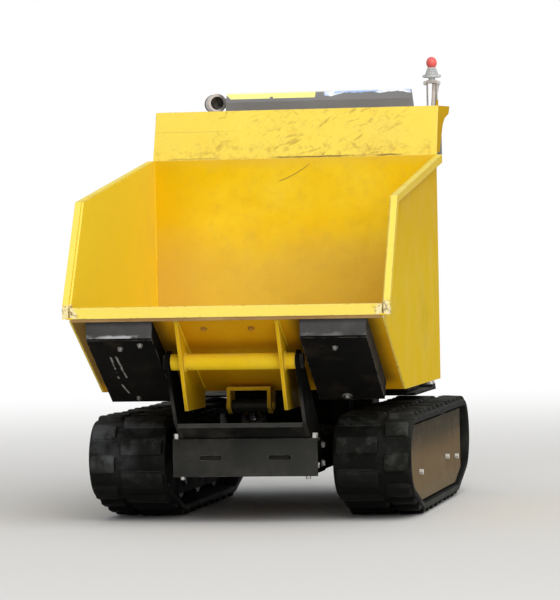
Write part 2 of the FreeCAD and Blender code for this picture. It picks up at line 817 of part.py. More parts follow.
def frame_pins():
    """The long pin of the tipping pivot and the short one at the cylinder's base."""
    pivot = rod_along_x(-upright_outer_x, upright_outer_x, pivot_y, pivot_z, pivot_pin_radius)
    heads = both_sides(rod_along_x(upright_outer_x, upright_outer_x + pivot_head_height, pivot_y, pivot_z,
                                   pivot_pin_radius + pivot_head_overhang))
    reach = ear_outer + cylinder_pin_overhang
    base = rod_along_x(-reach, reach, cylinder_base_y, cylinder_base_z, cylinder_pin_radius)
    return Part.makeCompound([fuse([pivot] + heads), base])


def gearbox():
    """The transmission between the rails, with the axle that carries both sprockets."""
    half = rail_inner_x - gearbox_side_gap
    z0 = wheel_axis_z - gearbox_height / 2 + gearbox_lift
    case = block(-half, half, sprocket_y - gearbox_depth / 2, sprocket_y + gearbox_depth / 2,
                 z0, z0 + gearbox_height)
    tube_end = wheel_x0 - seat_gap
    tubes = rod_along_x(-tube_end, tube_end, sprocket_y, wheel_axis_z, axle_tube_radius)
    axle_end = wheel_x1 + seat_gap
    axle = rod_along_x(-axle_end, axle_end, sprocket_y, wheel_axis_z, axle_radius)
    caps = both_sides(rod_along_x(axle_end, wheel_x1 + axle_cap_reach, sprocket_y, wheel_axis_z,
                                  axle_radius + axle_cap_overhang))
    return fuse([rounded(case, gearbox_round), tubes, axle] + caps)


# Skip

def slope_z(y):
    """Underside of the sloping front sheet at y."""
    top = lip_z - lip_bar_height
    return top + (skip_floor_z - top) * (y - lip_y) / (slope_foot_y - lip_y)


def slope_y(z):
    """Where the underside of the sloping front sheet has the height z."""
    top = lip_z - lip_bar_height
    return lip_y + (slope_foot_y - lip_y) * (z - top) / (skip_floor_z - top)


def skip_side():
    """One side sheet with the bar along its front and top edges."""
    front_y = lip_y + lip_bar_depth
    knee_y = lip_y + side_front_reach
    outline = [(front_y, slope_z(front_y)), (slope_foot_y, skip_floor_z), (skip_back_y, skip_floor_z),
               (skip_back_y, skip_back_z), (knee_y, side_front_z), (front_y, lip_z)]
    plate = side_profile(outline, inside_x, side_x)
    low_z = lip_z - lip_bar_height
    head = (knee_y - rim_depth / 2, side_front_z)
    inner_knee = (head[0] + rim_depth, side_front_z - rim_drop)
    rim_x = side_x + rim_overhang
    front = side_profile([(lip_y, low_z), (lip_y + rim_depth, low_z), (lip_y + rim_depth, lip_z),
                          inner_knee, head, (lip_y, lip_z)], side_x, rim_x)
    top = side_profile([head, inner_knee, (skip_back_y, skip_back_z - rim_depth), (skip_back_y, skip_back_z)],
                       side_x, rim_x)
    return fuse([plate, front, top])


def skip_floor():
    """The floor and the sloping front sheet, bent from one plate, with the lip bar along the front."""
    rise = math.atan2(lip_z - lip_bar_height - skip_floor_z, slope_foot_y - lip_y)
    over = sheet / math.cos(rise)
    bend = sheet * math.tan(rise / 2)
    front_y = lip_y + lip_bar_depth
    back_y = skip_back_y - sheet
    top_z = skip_floor_z + sheet
    outline = [(front_y, slope_z(front_y)), (slope_foot_y, skip_floor_z), (back_y, skip_floor_z),
               (back_y, top_z), (slope_foot_y + bend, top_z), (front_y, slope_z(front_y) + over)]
    plate = side_profile(outline, -inside_x, inside_x)
    bar = block(-inside_x, inside_x, lip_y, front_y, lip_z - lip_bar_height, lip_z)
    return fuse([plate, bar])


def skip_back():
    return block(-inside_x, inside_x, skip_back_y - sheet, skip_back_y, skip_floor_z, skip_back_z)


def headboard():
    """The leaning board on top of the back sheet, with side flanges and a channel along its top."""
    foot_y, head_y = skip_back_y, skip_back_y + headboard_lean
    low_z = headboard_z - stiffener_height
    low_y = head_y - stiffener_height * headboard_lean / (headboard_z - skip_back_z)
    lap_z = skip_back_z - headboard_overlap
    board = side_profile([(foot_y, lap_z), (foot_y + sheet, lap_z), (foot_y + sheet, skip_back_z),
                          (head_y + sheet, headboard_z), (head_y, headboard_z), (foot_y, skip_back_z)],
                         -side_x, side_x)
    flange = side_profile([(foot_y + sheet, skip_back_z),
                           (foot_y + headboard_flange, skip_back_z + headboard_flange_lift),
                           (head_y + headboard_flange, headboard_z), (head_y + sheet, headboard_z)],
                          inside_x, side_x)
    outside = [(low_y + sheet, low_z), (low_y + stiffener_depth, low_z),
               (head_y + stiffener_depth, headboard_z), (head_y + sheet, headboard_z)]
    inside = [(low_y + 2 * sheet, low_z + sheet),
              (low_y + stiffener_depth - sheet, low_z + sheet),
              (head_y + stiffener_depth - sheet, headboard_z - sheet),
              (head_y + 2 * sheet, headboard_z - sheet)]
    hollow = side_profile(inside, -side_x - cut_over, side_x + cut_over)
    channel = side_profile(outside, -side_x, side_x).cut(hollow)
    return fuse([board] + both_sides(flange) + [channel])


def gussets():
    """The two plates under the slope that the pivot tube goes through."""
    front_y = lip_y + lip_bar_depth + seat_gap
    back_y = lip_y + gusset_rear_reach
    outline = [(front_y, slope_z(front_y)), (lip_y + gusset_front_reach, gusset_bottom_z),
               (back_y, gusset_bottom_z), (back_y, slope_z(back_y))]
    x1 = rail_outer_x - gusset_inset
    x0 = x1 - gusset_thickness
    hole = rod_along_x(x0 - cut_over, x1 + cut_over, pivot_y, pivot_z, pivot_tube_radius + tube_fit)
    return Part.makeCompound(both_sides(side_profile(outline, x0, x1).cut(hole)))


def pivot_tube():
    reach = rail_outer_x - pivot_side_gap
    tube = rod_along_x(-reach, reach, pivot_y, pivot_z, pivot_tube_radius)
    return tube.cut(rod_along_x(-reach, reach, pivot_y, pivot_z, pivot_pin_radius + pin_clearance))


def cylinder_bracket():
    """The inverted channel under the slope for the rod's eye, with the ends of its pin in the ears."""
    y0 = lip_y + bracket_front_reach
    y1 = slope_foot_y + bracket_heel
    top_z = bracket_bridge_z + bracket_bridge_thickness
    meet_y = slope_y(top_z)
    web = side_profile([(y0, bracket_bottom_z), (y1, bracket_bottom_z), (y1, skip_floor_z),
                        (slope_foot_y, skip_floor_z), (meet_y, top_z), (y0, top_z)], ear_inner, ear_outer)
    boss = rod_along_x(ear_inner, ear_outer, rod_eye_y, rod_eye_z, cylinder_ear_radius)
    pin_end = rod_along_x(ear_inner, ear_outer + cylinder_pin_overhang, rod_eye_y, rod_eye_z,
                          cylinder_pin_radius)
    bridge = block(-ear_outer, ear_outer, y0, y0 + bracket_bridge_depth, bracket_bridge_z, top_z)
    return fuse(both_sides(fuse([web, boss, pin_end])) + [bridge])


def slope_box():
    """The closed box bolted under the slope over one track."""
    front_y = lip_y + lip_bar_depth / 2
    back_y = lip_y + slope_box_rear_reach
    head_y = back_y + slope_box_rear_lean
    outline = [(front_y, slope_z(front_y) - seat_gap), (front_y, slope_z(front_y) - slope_box_front_height),
               (back_y, slope_z(back_y) - slope_box_rear_height), (head_y, slope_z(head_y) - seat_gap)]
    return side_profile(outline, upright_outer_x + slope_box_gap, inside_x - slope_box_side_gap)


# Tipping cylinder, along the line from its base pin to the rod's eye

def along_cylinder(distance):
    base = Vec(0, cylinder_base_y, cylinder_base_z)
    return base + Vec(0, rod_eye_y - cylinder_base_y, rod_eye_z - cylinder_base_z).normalize() * distance


def cylinder_span(start, end, radius):
    return rod_between(along_cylinder(start), along_cylinder(end), radius)


def cylinder_barrel():
    """The outer barrel with its base eye and its gland, bored for the sliding stage."""
    half = cylinder_eye_width / 2
    eye = rod_along_x(-half, half, cylinder_base_y, cylinder_base_z, cylinder_ear_radius)
    body = cylinder_span(barrel_tail, barrel_end - gland_length, barrel_radius)
    gland = cylinder_span(barrel_end - gland_length, barrel_end, barrel_radius + gland_rise)
    bore = rod_along_x(-half, half, cylinder_base_y, cylinder_base_z, cylinder_pin_radius + pin_clearance)
    tube_bore = cylinder_span(barrel_start + tube_floor, barrel_end + cut_over, stage_radius + pin_clearance)
    return fuse([body, gland, eye]).cut([bore, tube_bore])


def cylinder_stage():
    """The sliding stage between the barrel and the rod."""
    start = barrel_start + tube_floor + seat_gap
    body = cylinder_span(start, stage_end, stage_radius)
    return body.cut(cylinder_span(start + tube_floor, stage_end + cut_over, rod_radius + pin_clearance))


def cylinder_rod():
    """The rod and its eye, with the middle of the pin in it."""
    half = cylinder_eye_width / 2
    start = barrel_start + 2 * tube_floor + 2 * seat_gap
    shaft = cylinder_span(start, pin_distance, rod_radius)
    eye = rod_along_x(-half, half, rod_eye_y, rod_eye_z, rod_eye_radius)
    return fuse([shaft, eye])


# Engine and what stands on the deck

def engine_block():
    """Crankcase on its feet, with a finned head, rocker cover and spark plug to the rear."""
    x, y, z = engine_offset_x, engine_y, engine_base_z
    half_depth = crankcase_depth / 2
    case = block(case_x0, case_x1, y - half_depth, y + half_depth, z, z + crankcase_height)
    pieces = [rounded(case, crankcase_round, upright_edge)]
    foot_half = engine_foot_depth / 2
    for foot_y in (y - half_depth + engine_foot_inset, y + half_depth - engine_foot_inset):
        pieces.append(block(case_x0, case_x1, foot_y - foot_half, foot_y + foot_half, deck_top_z, z))
    pieces.append(rod_along_x(case_x1, case_x1 + crank_reach, y, crank_z, crank_radius))
    half = head_width / 2
    fins_z0 = z + head_drop
    fins_z1 = fins_z0 + fin_pitch * (fin_count - 1) + fin_thickness
    back_y = case_rear_y + head_depth
    pieces.append(block(x - half + fin_depth, x + half - fin_depth, case_rear_y, back_y - fin_depth,
                        fins_z0, fins_z1))
    for i in range(fin_count):
        z0 = fins_z0 + fin_pitch * i
        pieces.append(block(x - half, x + half, case_rear_y, back_y, z0, z0 + fin_thickness))
    middle_z = (fins_z0 + fins_z1) / 2
    cover_y0 = back_y - fin_depth
    cover = block(x - rocker_width / 2, x + rocker_width / 2, cover_y0, back_y + rocker_depth,
                  middle_z - rocker_height / 2, middle_z + rocker_height / 2)
    pieces.append(rounded(cover, fin_depth / 2, lambda edge: edge.CenterOfMass.y > back_y))
    plug_x = x + half - fin_depth - plug_radius
    pieces.append(rod_along_y(cover_y0, back_y + plug_length, plug_x, middle_z, plug_radius))
    return fuse(pieces)


def recoil_starter():
    """The fan housing with a ring of air slots and its rope drum."""
    x0, x1 = case_x0 - fan_depth, case_x0
    drum = rod_along_x(x0, x1, engine_y, crank_z, fan_radius)
    drum = rounded(drum, fan_round, lambda edge: abs(edge.CenterOfMass.x - x0) < cut_over)
    cup_radius = fan_radius * fan_cup_share
    slots = []
    for i in range(fan_slot_count):
        slot = block(x0 - cut_over, x0 + fan_slot_depth,
                     engine_y - fan_slot_width / 2, engine_y + fan_slot_width / 2,
                     crank_z + cup_radius + fan_slot_depth, crank_z + cup_radius + fan_slot_length)
        slot.rotate(Vec(x0, engine_y, crank_z), Vec(1, 0, 0), 360.0 * i / fan_slot_count)
        slots.append(slot)
    cup = rod_along_x(x0 - fan_cup_depth, x0, engine_y, crank_z, cup_radius)
    return fuse([drum.cut(slots), cup])


def fuel_tank():
    """The tank on two rails over the crankcase, with its seam and its filler cap."""
    z0 = engine_base_z + crankcase_height + tank_gap
    x, y = engine_offset_x, engine_y
    half_width, half_depth = tank_width / 2, tank_depth / 2
    tank = block(x - half_width, x + half_width, y - half_depth, y + half_depth, z0, z0 + tank_height)
    tank = rounded(tank, tank_round, lambda edge: edge.CenterOfMass.z > z0 + cut_over)
    seam_z = z0 + tank_height / 2
    seam = block(x - half_width - tank_seam, x + half_width + tank_seam, y - half_depth - tank_seam,
                 y + half_depth + tank_seam, seam_z, seam_z + tank_seam_height)
    seam = rounded(seam, tank_round, upright_edge)
    rails = []
    for rail_y in (y - half_depth + tank_post_inset, y + half_depth - tank_post_inset):
        rails.append(block(case_x0 + tank_post_inset, case_x1 - tank_post_inset, rail_y - tank_post_inset / 2,
                           rail_y + tank_post_inset / 2, engine_base_z + crankcase_height, z0))
    top = z0 + tank_height
    cap = rod_along_z(top, top + tank_cap_height, x + tank_cap_offset, y, tank_cap_radius)
    return fuse([tank, seam, cap] + rails)


def muffler():
    """The silencer over the head, with a slotted heat guard, its pipe and its outlet."""
    x = engine_offset_x + muffler_offset
    half = muffler_width / 2
    back_y = upper_y + muffler_depth
    body = block(x - half, x + half, upper_y, back_y, upper_z, upper_z + muffler_height)
    slots = []
    for i in range(muffler_slot_count):
        z0 = upper_z + muffler_slot_margin + muffler_slot_pitch * i
        slots.append(block(x - half + muffler_slot_margin, x + half - muffler_slot_margin,
                           back_y - muffler_slot_depth, back_y + cut_over, z0, z0 + muffler_slot_height))
    body = rounded(body, muffler_round).cut(slots)
    pipe_x = engine_offset_x + head_width / 4
    pipe_y = upper_y + muffler_depth / 2
    pipe = rod_along_z(head_top_z(), upper_z + muffler_round, pipe_x, pipe_y, port_radius)
    outlet = rod_along_x(x + half - outlet_radius, x + half + outlet_reach, pipe_y,
                         upper_z + muffler_height / 2, outlet_radius)
    return fuse([body, pipe, outlet])


def head_top_z():
    """Top of the uppermost fin."""
    return engine_base_z + head_drop + fin_pitch * (fin_count - 1) + fin_thickness


def air_filter():
    """The air cleaner over the head: a cover on a narrower base, with its inlet port."""
    x = engine_offset_x + filter_offset
    half = filter_width / 2
    cover = rounded(block(x - half, x + half, upper_y, upper_y + filter_depth, upper_z + filter_base_height,
                          upper_z + filter_height), filter_round)
    inset = filter_base_inset
    base = block(x - half + inset, x + half - inset, upper_y + inset, upper_y + filter_depth - inset,
                 upper_z, upper_z + filter_base_height + filter_round)
    port = rod_along_z(head_top_z(), upper_z + inset, engine_offset_x - head_width / 4,
                       upper_y + filter_depth / 2, port_radius)
    return fuse([cover, base, port])


def belt_guard():
    """The guard over the belt that runs from the crankshaft down to the gearbox."""
    x0 = case_x1 + guard_gap
    guard = hull_of_circles([(engine_y - guard_foot, deck_top_z + sharp, sharp),
                             (engine_y + guard_foot, deck_top_z + sharp, sharp),
                             (engine_y, crank_z, guard_top_radius)], x0, x0 + guard_width)
    return guard.cut(rod_along_x(x0 - cut_over, case_x1 + crank_reach + cut_over, engine_y, crank_z,
                                 crank_radius + cut_over))


def oil_tank():
    """The hydraulic oil tank on the left of the deck, with its filler cap."""
    x1 = deck_half - oil_tank_side_gap
    x0 = x1 - oil_tank_width
    y0 = deck_front_y + oil_tank_front_gap
    top = deck_top_z + oil_tank_height
    tank = rounded(block(x0, x1, y0, y0 + oil_tank_depth, deck_top_z, top), oil_tank_round)
    cap = rod_along_z(top - cut_over, top + oil_cap_height, (x0 + x1) / 2, y0 + oil_cap_inset, oil_cap_radius)
    return fuse([tank, cap])


# Handlebars, console and levers

def handlebar(side):
    """One bent bar from its foot on the deck to the end of its grip."""
    x = side * bar_x
    points = [Vec(x, bar_foot_y, deck_top_z), Vec(x, bar_foot_y + bar_lean, bar_z), Vec(x, rear_y, bar_z)]
    tube = bent_tube(points, bar_bend_radius, bar_radius)
    half = bar_foot_half
    foot = block(x - half, x + half, bar_foot_y - half, bar_foot_y + half,
                 deck_top_z, deck_top_z + bar_foot_thickness)
    under = block(x - bar_trim, x + bar_trim, bar_foot_y - bar_trim, bar_foot_y + bar_trim,
                  deck_top_z - bar_trim, deck_top_z)
    behind = block(x - bar_trim, x + bar_trim, rear_y - bar_end_inset, rear_y + bar_trim,
                   bar_z - bar_trim, bar_z + bar_trim)
    return fuse([tube, foot]).cut([under, behind])


def grips():
    """The rubber grips on the two handlebars, closed at their ends."""
    outer = rod_along_y(rear_y - grip_length, rear_y, bar_x, bar_z, grip_radius)
    inner = rod_along_y(rear_y - grip_length - cut_over, rear_y - bar_end_inset, bar_x, bar_z,
                        bar_radius + pin_clearance)
    return Part.makeCompound(both_sides(outer.cut(inner)))


def console():
    """The control box between the handlebars, open below, with a tab to each bar."""
    y0, y1, z0, z1 = console_front_y, console_rear_y, console_bottom_z, console_z
    skin, chamfer = console_skin, console_chamfer
    outer = side_profile([(y0, z0), (y1, z0), (y1, z1 - console_rear_drop), (y0 + 2 * chamfer, z1),
                          (y0 + chamfer, z1), (y0, z1 - chamfer)], -console_half, console_half)
    inside = side_profile([(y0 + skin, z0 - cut_over), (y1 - skin, z0 - cut_over),
                           (y1 - skin, z1 - console_rear_drop - skin), (y0 + 2 * chamfer, z1 - skin),
                           (y0 + chamfer, z1 - skin), (y0 + skin, z1 - chamfer - skin)],
                          skin - console_half, console_half - skin)
    tab_y0 = console_mid_y - console_tab_reach
    tab_z0 = z0 + console_tab_rise
    tab = block(console_half, bar_x - bar_radius - seat_gap, tab_y0, tab_y0 + console_tab_depth,
                tab_z0, tab_z0 + console_tab_height)
    holes = [rod_between(foot, head, lever_radius + seat_gap) for foot, head in lever_lines()]
    return fuse([outer.cut(inside)] + both_sides(tab)).cut(holes)


def lever_lines():
    """Foot and head of each console lever: two for steering and one between them for the gears."""
    lines = []
    for side in (-1, 0, 1):
        foot = Vec(side * lever_spread, console_rear_y - console_chamfer, console_z - lever_drop)
        lines.append((foot, foot + Vec(side * lever_lean, lever_reach + console_chamfer, lever_rise)))
    return lines


def console_levers():
    """The levers that come out of the console's rear face, each with a ball at its end."""
    balls = [Part.makeSphere(lever_ball_radius, head) for foot, head in lever_lines()]
    stems = [rod_between(foot, head, lever_radius) for foot, head in lever_lines()]
    return Part.makeCompound([fuse([stem, ball]) for stem, ball in zip(stems, balls)])


def tipping_valve():
    """The valve outside the left handlebar, with its forked lever, flange, gaiter and round knob."""
    x, y = valve_x, console_mid_y - valve_lever_lead
    front_y = console_mid_y - valve_front
    half = valve_width / 2
    case = rounded(block(x - half, x + half, front_y, front_y + valve_depth, valve_z - valve_height, valve_z),
                   valve_round)
    fork_z = knob_z - valve_fork_drop
    flange_z = knob_z - valve_flange_drop
    legs = [rod_along_z(valve_z - cut_over, fork_z + cut_over, x + offset, y, lever_radius)
            for offset in (-valve_leg_spread, valve_leg_spread)]
    fork = block(x - valve_fork_half, x + valve_fork_half, y - valve_fork_depth, y + valve_fork_depth,
                 fork_z, fork_z + valve_fork_height)
    neck = rod_along_z(fork_z, flange_z + cut_over, x, y, valve_neck_radius)
    flange = rod_along_z(flange_z, flange_z + valve_flange_height, x, y, valve_flange_radius)
    gaiter = Part.makeCone(valve_gaiter_foot, valve_gaiter_head, valve_gaiter_height,
                           Vec(x, y, flange_z + valve_flange_height))
    ball = Part.makeSphere(knob_radius, Vec(x, y, knob_z))
    return fuse([case] + legs + [fork, neck, flange, gaiter, ball])


def document_tube():
    """A short tube at the right end of the console, open to the front and turned a little inwards."""
    radius = document_tube_radius
    turn = math.radians(document_tube_turn)
    x = -console_half - seat_gap - radius * math.cos(turn)
    y0 = console_front_y
    y1 = y0 + document_tube_length
    tube = rod_along_y(y0, y1, x, document_tube_z, radius)
    hollow = rod_along_y(y0 - cut_over, y1 - document_tube_wall, x, document_tube_z,
                         radius - document_tube_wall)
    for shape in (tube, hollow):
        shape.rotate(Vec(x, y0, document_tube_z), Vec(0, 0, 1), document_tube_turn)
    saddle_y = y0 + document_saddle_depth
    saddle = block(x + radius - document_saddle_lap, -console_half, y0 + document_saddle_half,
                   saddle_y + document_saddle_half, document_tube_z - document_saddle_half,
                   document_tube_z + document_saddle_half)
    return fuse([tube, saddle]).cut(hollow)


NODES = {
    "track_left": track, "wheels_left": wheels, "sprocket_left": sprocket,
    "track_frame_left": track_frame, "track_cover_left": track_cover,
    "main_frame": main_frame, "upright_left": upright, "bumper": bumper, "deck": deck,
    "rest_pads": rest_pads, "frame_pins": frame_pins, "gearbox": gearbox,
    "skip_side_left": skip_side, "skip_floor": skip_floor, "skip_back": skip_back, "headboard": headboard,
    "gussets": gussets, "pivot_tube": pivot_tube, "cylinder_bracket": cylinder_bracket,
    "slope_box_left": slope_box,
    "cylinder_barrel": cylinder_barrel, "cylinder_stage": cylinder_stage, "cylinder_rod": cylinder_rod,
    "engine_block": engine_block, "recoil_starter": recoil_starter, "fuel_tank": fuel_tank,
    "muffler": muffler, "air_filter": air_filter, "belt_guard": belt_guard, "oil_tank": oil_tank,
    "grips": grips, "console": console, "console_levers": console_levers, "tipping_valve": tipping_valve,
    "document_tube": document_tube,
}


def main():
    os.makedirs("parts", exist_ok=True)
    shapes = {name: make() for name, make in NODES.items()}
    for name in list(shapes):
        if name.endswith("_left"):
            shapes[name.replace("_left", "_right")] = mirrored(shapes[name])
    shapes["handlebar_left"] = handlebar(1)
    shapes["handlebar_right"] = handlebar(-1)
    for name, shape in shapes.items():
        shape.exportStep(f"parts/{name}.step")


main()
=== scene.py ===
"""The looks of a tracked site dumper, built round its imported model.

Metres. The machine faces -Y, up is +Z, and its left is +X.
"""

import bpy
import bmesh
import math
import random
from functools import partial
from mathutils import Matrix, Vector


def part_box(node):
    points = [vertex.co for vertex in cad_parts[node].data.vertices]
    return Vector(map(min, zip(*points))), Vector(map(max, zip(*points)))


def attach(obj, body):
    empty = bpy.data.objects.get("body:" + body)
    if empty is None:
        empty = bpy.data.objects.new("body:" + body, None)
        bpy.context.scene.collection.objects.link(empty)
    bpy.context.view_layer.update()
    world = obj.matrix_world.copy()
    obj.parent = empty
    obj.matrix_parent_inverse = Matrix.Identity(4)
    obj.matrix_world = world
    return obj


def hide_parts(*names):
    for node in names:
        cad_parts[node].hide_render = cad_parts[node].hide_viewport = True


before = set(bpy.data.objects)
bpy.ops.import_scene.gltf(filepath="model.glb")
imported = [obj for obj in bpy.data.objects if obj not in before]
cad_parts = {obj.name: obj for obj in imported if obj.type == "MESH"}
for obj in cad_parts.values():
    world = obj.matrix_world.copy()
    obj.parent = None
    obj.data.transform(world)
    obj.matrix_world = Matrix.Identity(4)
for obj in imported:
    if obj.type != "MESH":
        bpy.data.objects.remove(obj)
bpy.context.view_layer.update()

# Places of the model's own pieces, by which the rest is placed
TRACK_LOW, TRACK_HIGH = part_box("track_left")
FLOOR_LOW, FLOOR_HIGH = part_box("skip_floor")
BACK_LOW, BACK_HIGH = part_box("skip_back")
HEAD_LOW, HEAD_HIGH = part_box("headboard")
BUMPER_LOW, BUMPER_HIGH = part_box("bumper")
UPRIGHT_LOW, UPRIGHT_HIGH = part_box("upright_left")
CONSOLE_LOW, CONSOLE_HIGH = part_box("console")
COVER_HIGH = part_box("track_cover_left")[1]
EYE_LOW, EYE_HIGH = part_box("cylinder_rod")
BOX_LOW, BOX_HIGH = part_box("slope_box_left")
TUBE_LOW, TUBE_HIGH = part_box("document_tube")

EYE_RADIUS = 0.015
SHEET = 0.004
INSIDE_X = BACK_HIGH.x
FLOOR_TOP = FLOOR_LOW.z + SHEET
BACK_FACE = BACK_LOW.y
LIP_Y = FLOOR_LOW.y
LIP_TOP = FLOOR_HIGH.z
LIP_UNDER = LIP_TOP - 0.025
SLOPE_REACH = 0.320
SLOPE_NORMAL = Vector((0, FLOOR_LOW.z - LIP_UNDER, -SLOPE_REACH)).normalized()


def slope_under(reach):
    """Height of the slope's underside at a reach behind the lip."""
    return LIP_UNDER + (FLOOR_LOW.z - LIP_UNDER) * reach / SLOPE_REACH


BAR_TOP = slope_under(0.006) - 0.0015
BAR_DROP = 0.040
BOX_FRONT_Z = slope_under(0.006) - 0.0457
BOX_FALL = 0.1473 / 0.250     # how far a box's face drops per metre to the rear

# Scrapes on a box's sloping face: x where each starts, how it leans, and its reach in y
SCRAPES = (
    (-0.2767, -0.016, -0.705, -0.624), (-0.2650, 0.063, -0.709, -0.627), (-0.2764, 0.224, -0.593, -0.563),
)

# Paint and surface colours, linear
YELLOW = (0.88, 0.575, 0.003)
YELLOW_FADED = (0.94, 0.70, 0.035)
YELLOW_DEEP = (0.72, 0.44, 0.002)
YELLOW_PALE = (0.95, 0.79, 0.17)
PALE_WEAR = (0.92, 0.80, 0.36)
RUST = (0.17, 0.062, 0.022)
# dark marks, and painted shade under the floor
DARK_MARK_AND_SHADE = (0.16, 0.10, 0.03)
SCUFF = (0.38, 0.23, 0.045)
DUST = (0.50, 0.38, 0.22)
FOOT_DUST = (0.52, 0.37, 0.15)
GREY_DUST = (0.11, 0.10, 0.083)
BARE_STEEL = (0.20, 0.19, 0.17)
NEAR_BLACK = (0.003, 0.003, 0.003)


# Material kit

def plug(tree, socket, value):
    """Feeds a socket from another one, or sets its value."""
    if isinstance(value, bpy.types.NodeSocket):
        tree.links.new(value, socket)
    elif socket.type == "RGBA":
        socket.default_value = (*value, 1)
    else:
        socket.default_value = value


def add_node(tree, kind, inputs=None, **settings):
    made = tree.nodes.new("ShaderNode" + kind)
    for key, value in settings.items():
        setattr(made, key, value)
    for key, value in (inputs or {}).items():
        plug(tree, made.inputs[key], value)
    return made


class Look:
    """A material being made: its colour so far, and short calls that add a node and return its output."""

    def __init__(self, name, colour):
        self.material = bpy.data.materials.new(name)
        self.material.use_nodes = True
        self.tree = self.material.node_tree
        self.shader = self.tree.nodes["Principled BSDF"]
        self.colour = colour
        coordinates = add_node(self.tree, "TexCoord").outputs
        self.place = coordinates["Object"]
        self.x, self.y, self.z = add_node(self.tree, "SeparateXYZ", {0: self.place}).outputs
        facing = add_node(self.tree, "SeparateXYZ", {0: coordinates["Normal"]}).outputs
        self.facing_x, self.facing_y, self.facing_z = facing

    def node(self, kind, inputs, **settings):
        return add_node(self.tree, kind, inputs, **settings).outputs[0]

    def feed(self, name, value):
        plug(self.tree, self.shader.inputs[name], value)

    def maths(self, operation, first, second=0.0):
        return self.node("Math", {0: first, 1: second}, operation=operation)

    def plus(self, first, second):
        return self.maths("ADD", first, second)

    def less(self, first, second):
        return self.maths("SUBTRACT", first, second)

    def larger(self, first, second):
        return self.maths("MAXIMUM", first, second)

    def size(self, value):
        return self.maths("ABSOLUTE", value)

    def times(self, *factors):
        result = factors[0]
        for factor in factors[1:]:
            result = self.maths("MULTIPLY", result, factor)
        return result

    def away(self, across, up):
        """Distance from a point that lies across and up from it."""
        return self.maths("SQRT", self.plus(self.times(across, across), self.times(up, up)))

    def step(self, value, low, high):
        """0 below low and 1 above high, smooth between; low may be the larger."""
        limits = {"Value": value, "From Min": low, "From Max": high}
        return self.node("MapRange", limits, interpolation_type="SMOOTHSTEP")

    def span(self, value, low, high):
        """A value of 0 to 1 stretched over low to high."""
        return self.node("MapRange", {"Value": value, "To Min": low, "To Max": high})

    def band(self, value, middle, half, soft):
        """1 within half of middle, fading to 0 over soft."""
        return self.step(self.size(self.less(value, middle)), half + soft, half)

    def noise(self, scale, detail, shift=0.0, rough=0.55, stretch=(1, 1, 1), turn=(0, 0, 0), place=None):
        moved = (shift, shift * 0.7, shift * 1.3)
        placed = self.node("Mapping", {"Vector": place or self.place, "Scale": stretch, "Rotation": turn,
                                       "Location": moved})
        pattern = {"Vector": placed, "Scale": scale, "Detail": detail, "Roughness": rough}
        return self.node("TexNoise", pattern)

    def blotch(self, low, high, *noise, **more_noise):
        """Patches where a noise is above high, fading out down to low."""
        return self.step(self.noise(*noise, **more_noise), low, high)

    def ragged(self, value, reach, *noise, **more_noise):
        """A value that strays by up to half of reach to both sides."""
        return self.plus(value, self.times(self.less(self.noise(*noise, **more_noise), 0.5), reach))

    def mix(self, amount, under, over):
        return add_node(self.tree, "Mix", {0: amount, 6: under, 7: over}, data_type="RGBA").outputs[2]

    def coat(self, colour, *masks):
        """Lays a colour over what is there, by the product of the masks."""
        self.colour = self.mix(self.times(*masks), self.colour, colour)

    def edge(self, radius, low=0.03, high=0.25):
        """1 along the piece's edges, 0 on its faces."""
        soft = self.node("Bevel", {"Radius": radius}, samples=4)
        plain = add_node(self.tree, "NewGeometry").outputs["Normal"]
        likeness = add_node(self.tree, "VectorMath", {0: soft, 1: plain}, operation="DOT_PRODUCT")
        return self.step(self.less(1.0, likeness.outputs["Value"]), low, high)

    def finish(self, roughness, relief, strength, depth=0.001, edge_radius=0.0012, sheen=0.5):
        """Joins colour, roughness and relief to the shader, with edges a little rounded."""
        self.feed("Base Color", self.colour)
        self.feed("Specular IOR Level", sheen)
        self.feed("Roughness", roughness)
        rounded = self.node("Bevel", {"Radius": edge_radius}, samples=4)
        bump = {"Height": relief, "Strength": strength, "Distance": depth, "Normal": rounded}
        self.feed("Normal", self.node("Bump", bump))
        return self.material

    def finish_sheet(self, sheen, low=-0.9, high=1.1):
        return self.finish(self.blotch(low, high, 16, 5, 2), self.noise(110, 4), 0.15, sheen=sheen)


# Kinds of material

def scratches(look, turn, amount, seed):
    """Thin broken lines along one direction, a share amount of them showing."""
    lines = look.noise(5, 2, seed, 0.4, (30, 0.9, 30), turn)
    broken = look.blotch(0.62 - amount * 0.3, 0.66 - amount * 0.3, 9, 3, seed + 4)
    return look.times(look.band(lines, 0.5, 0.004, 0.006), broken)


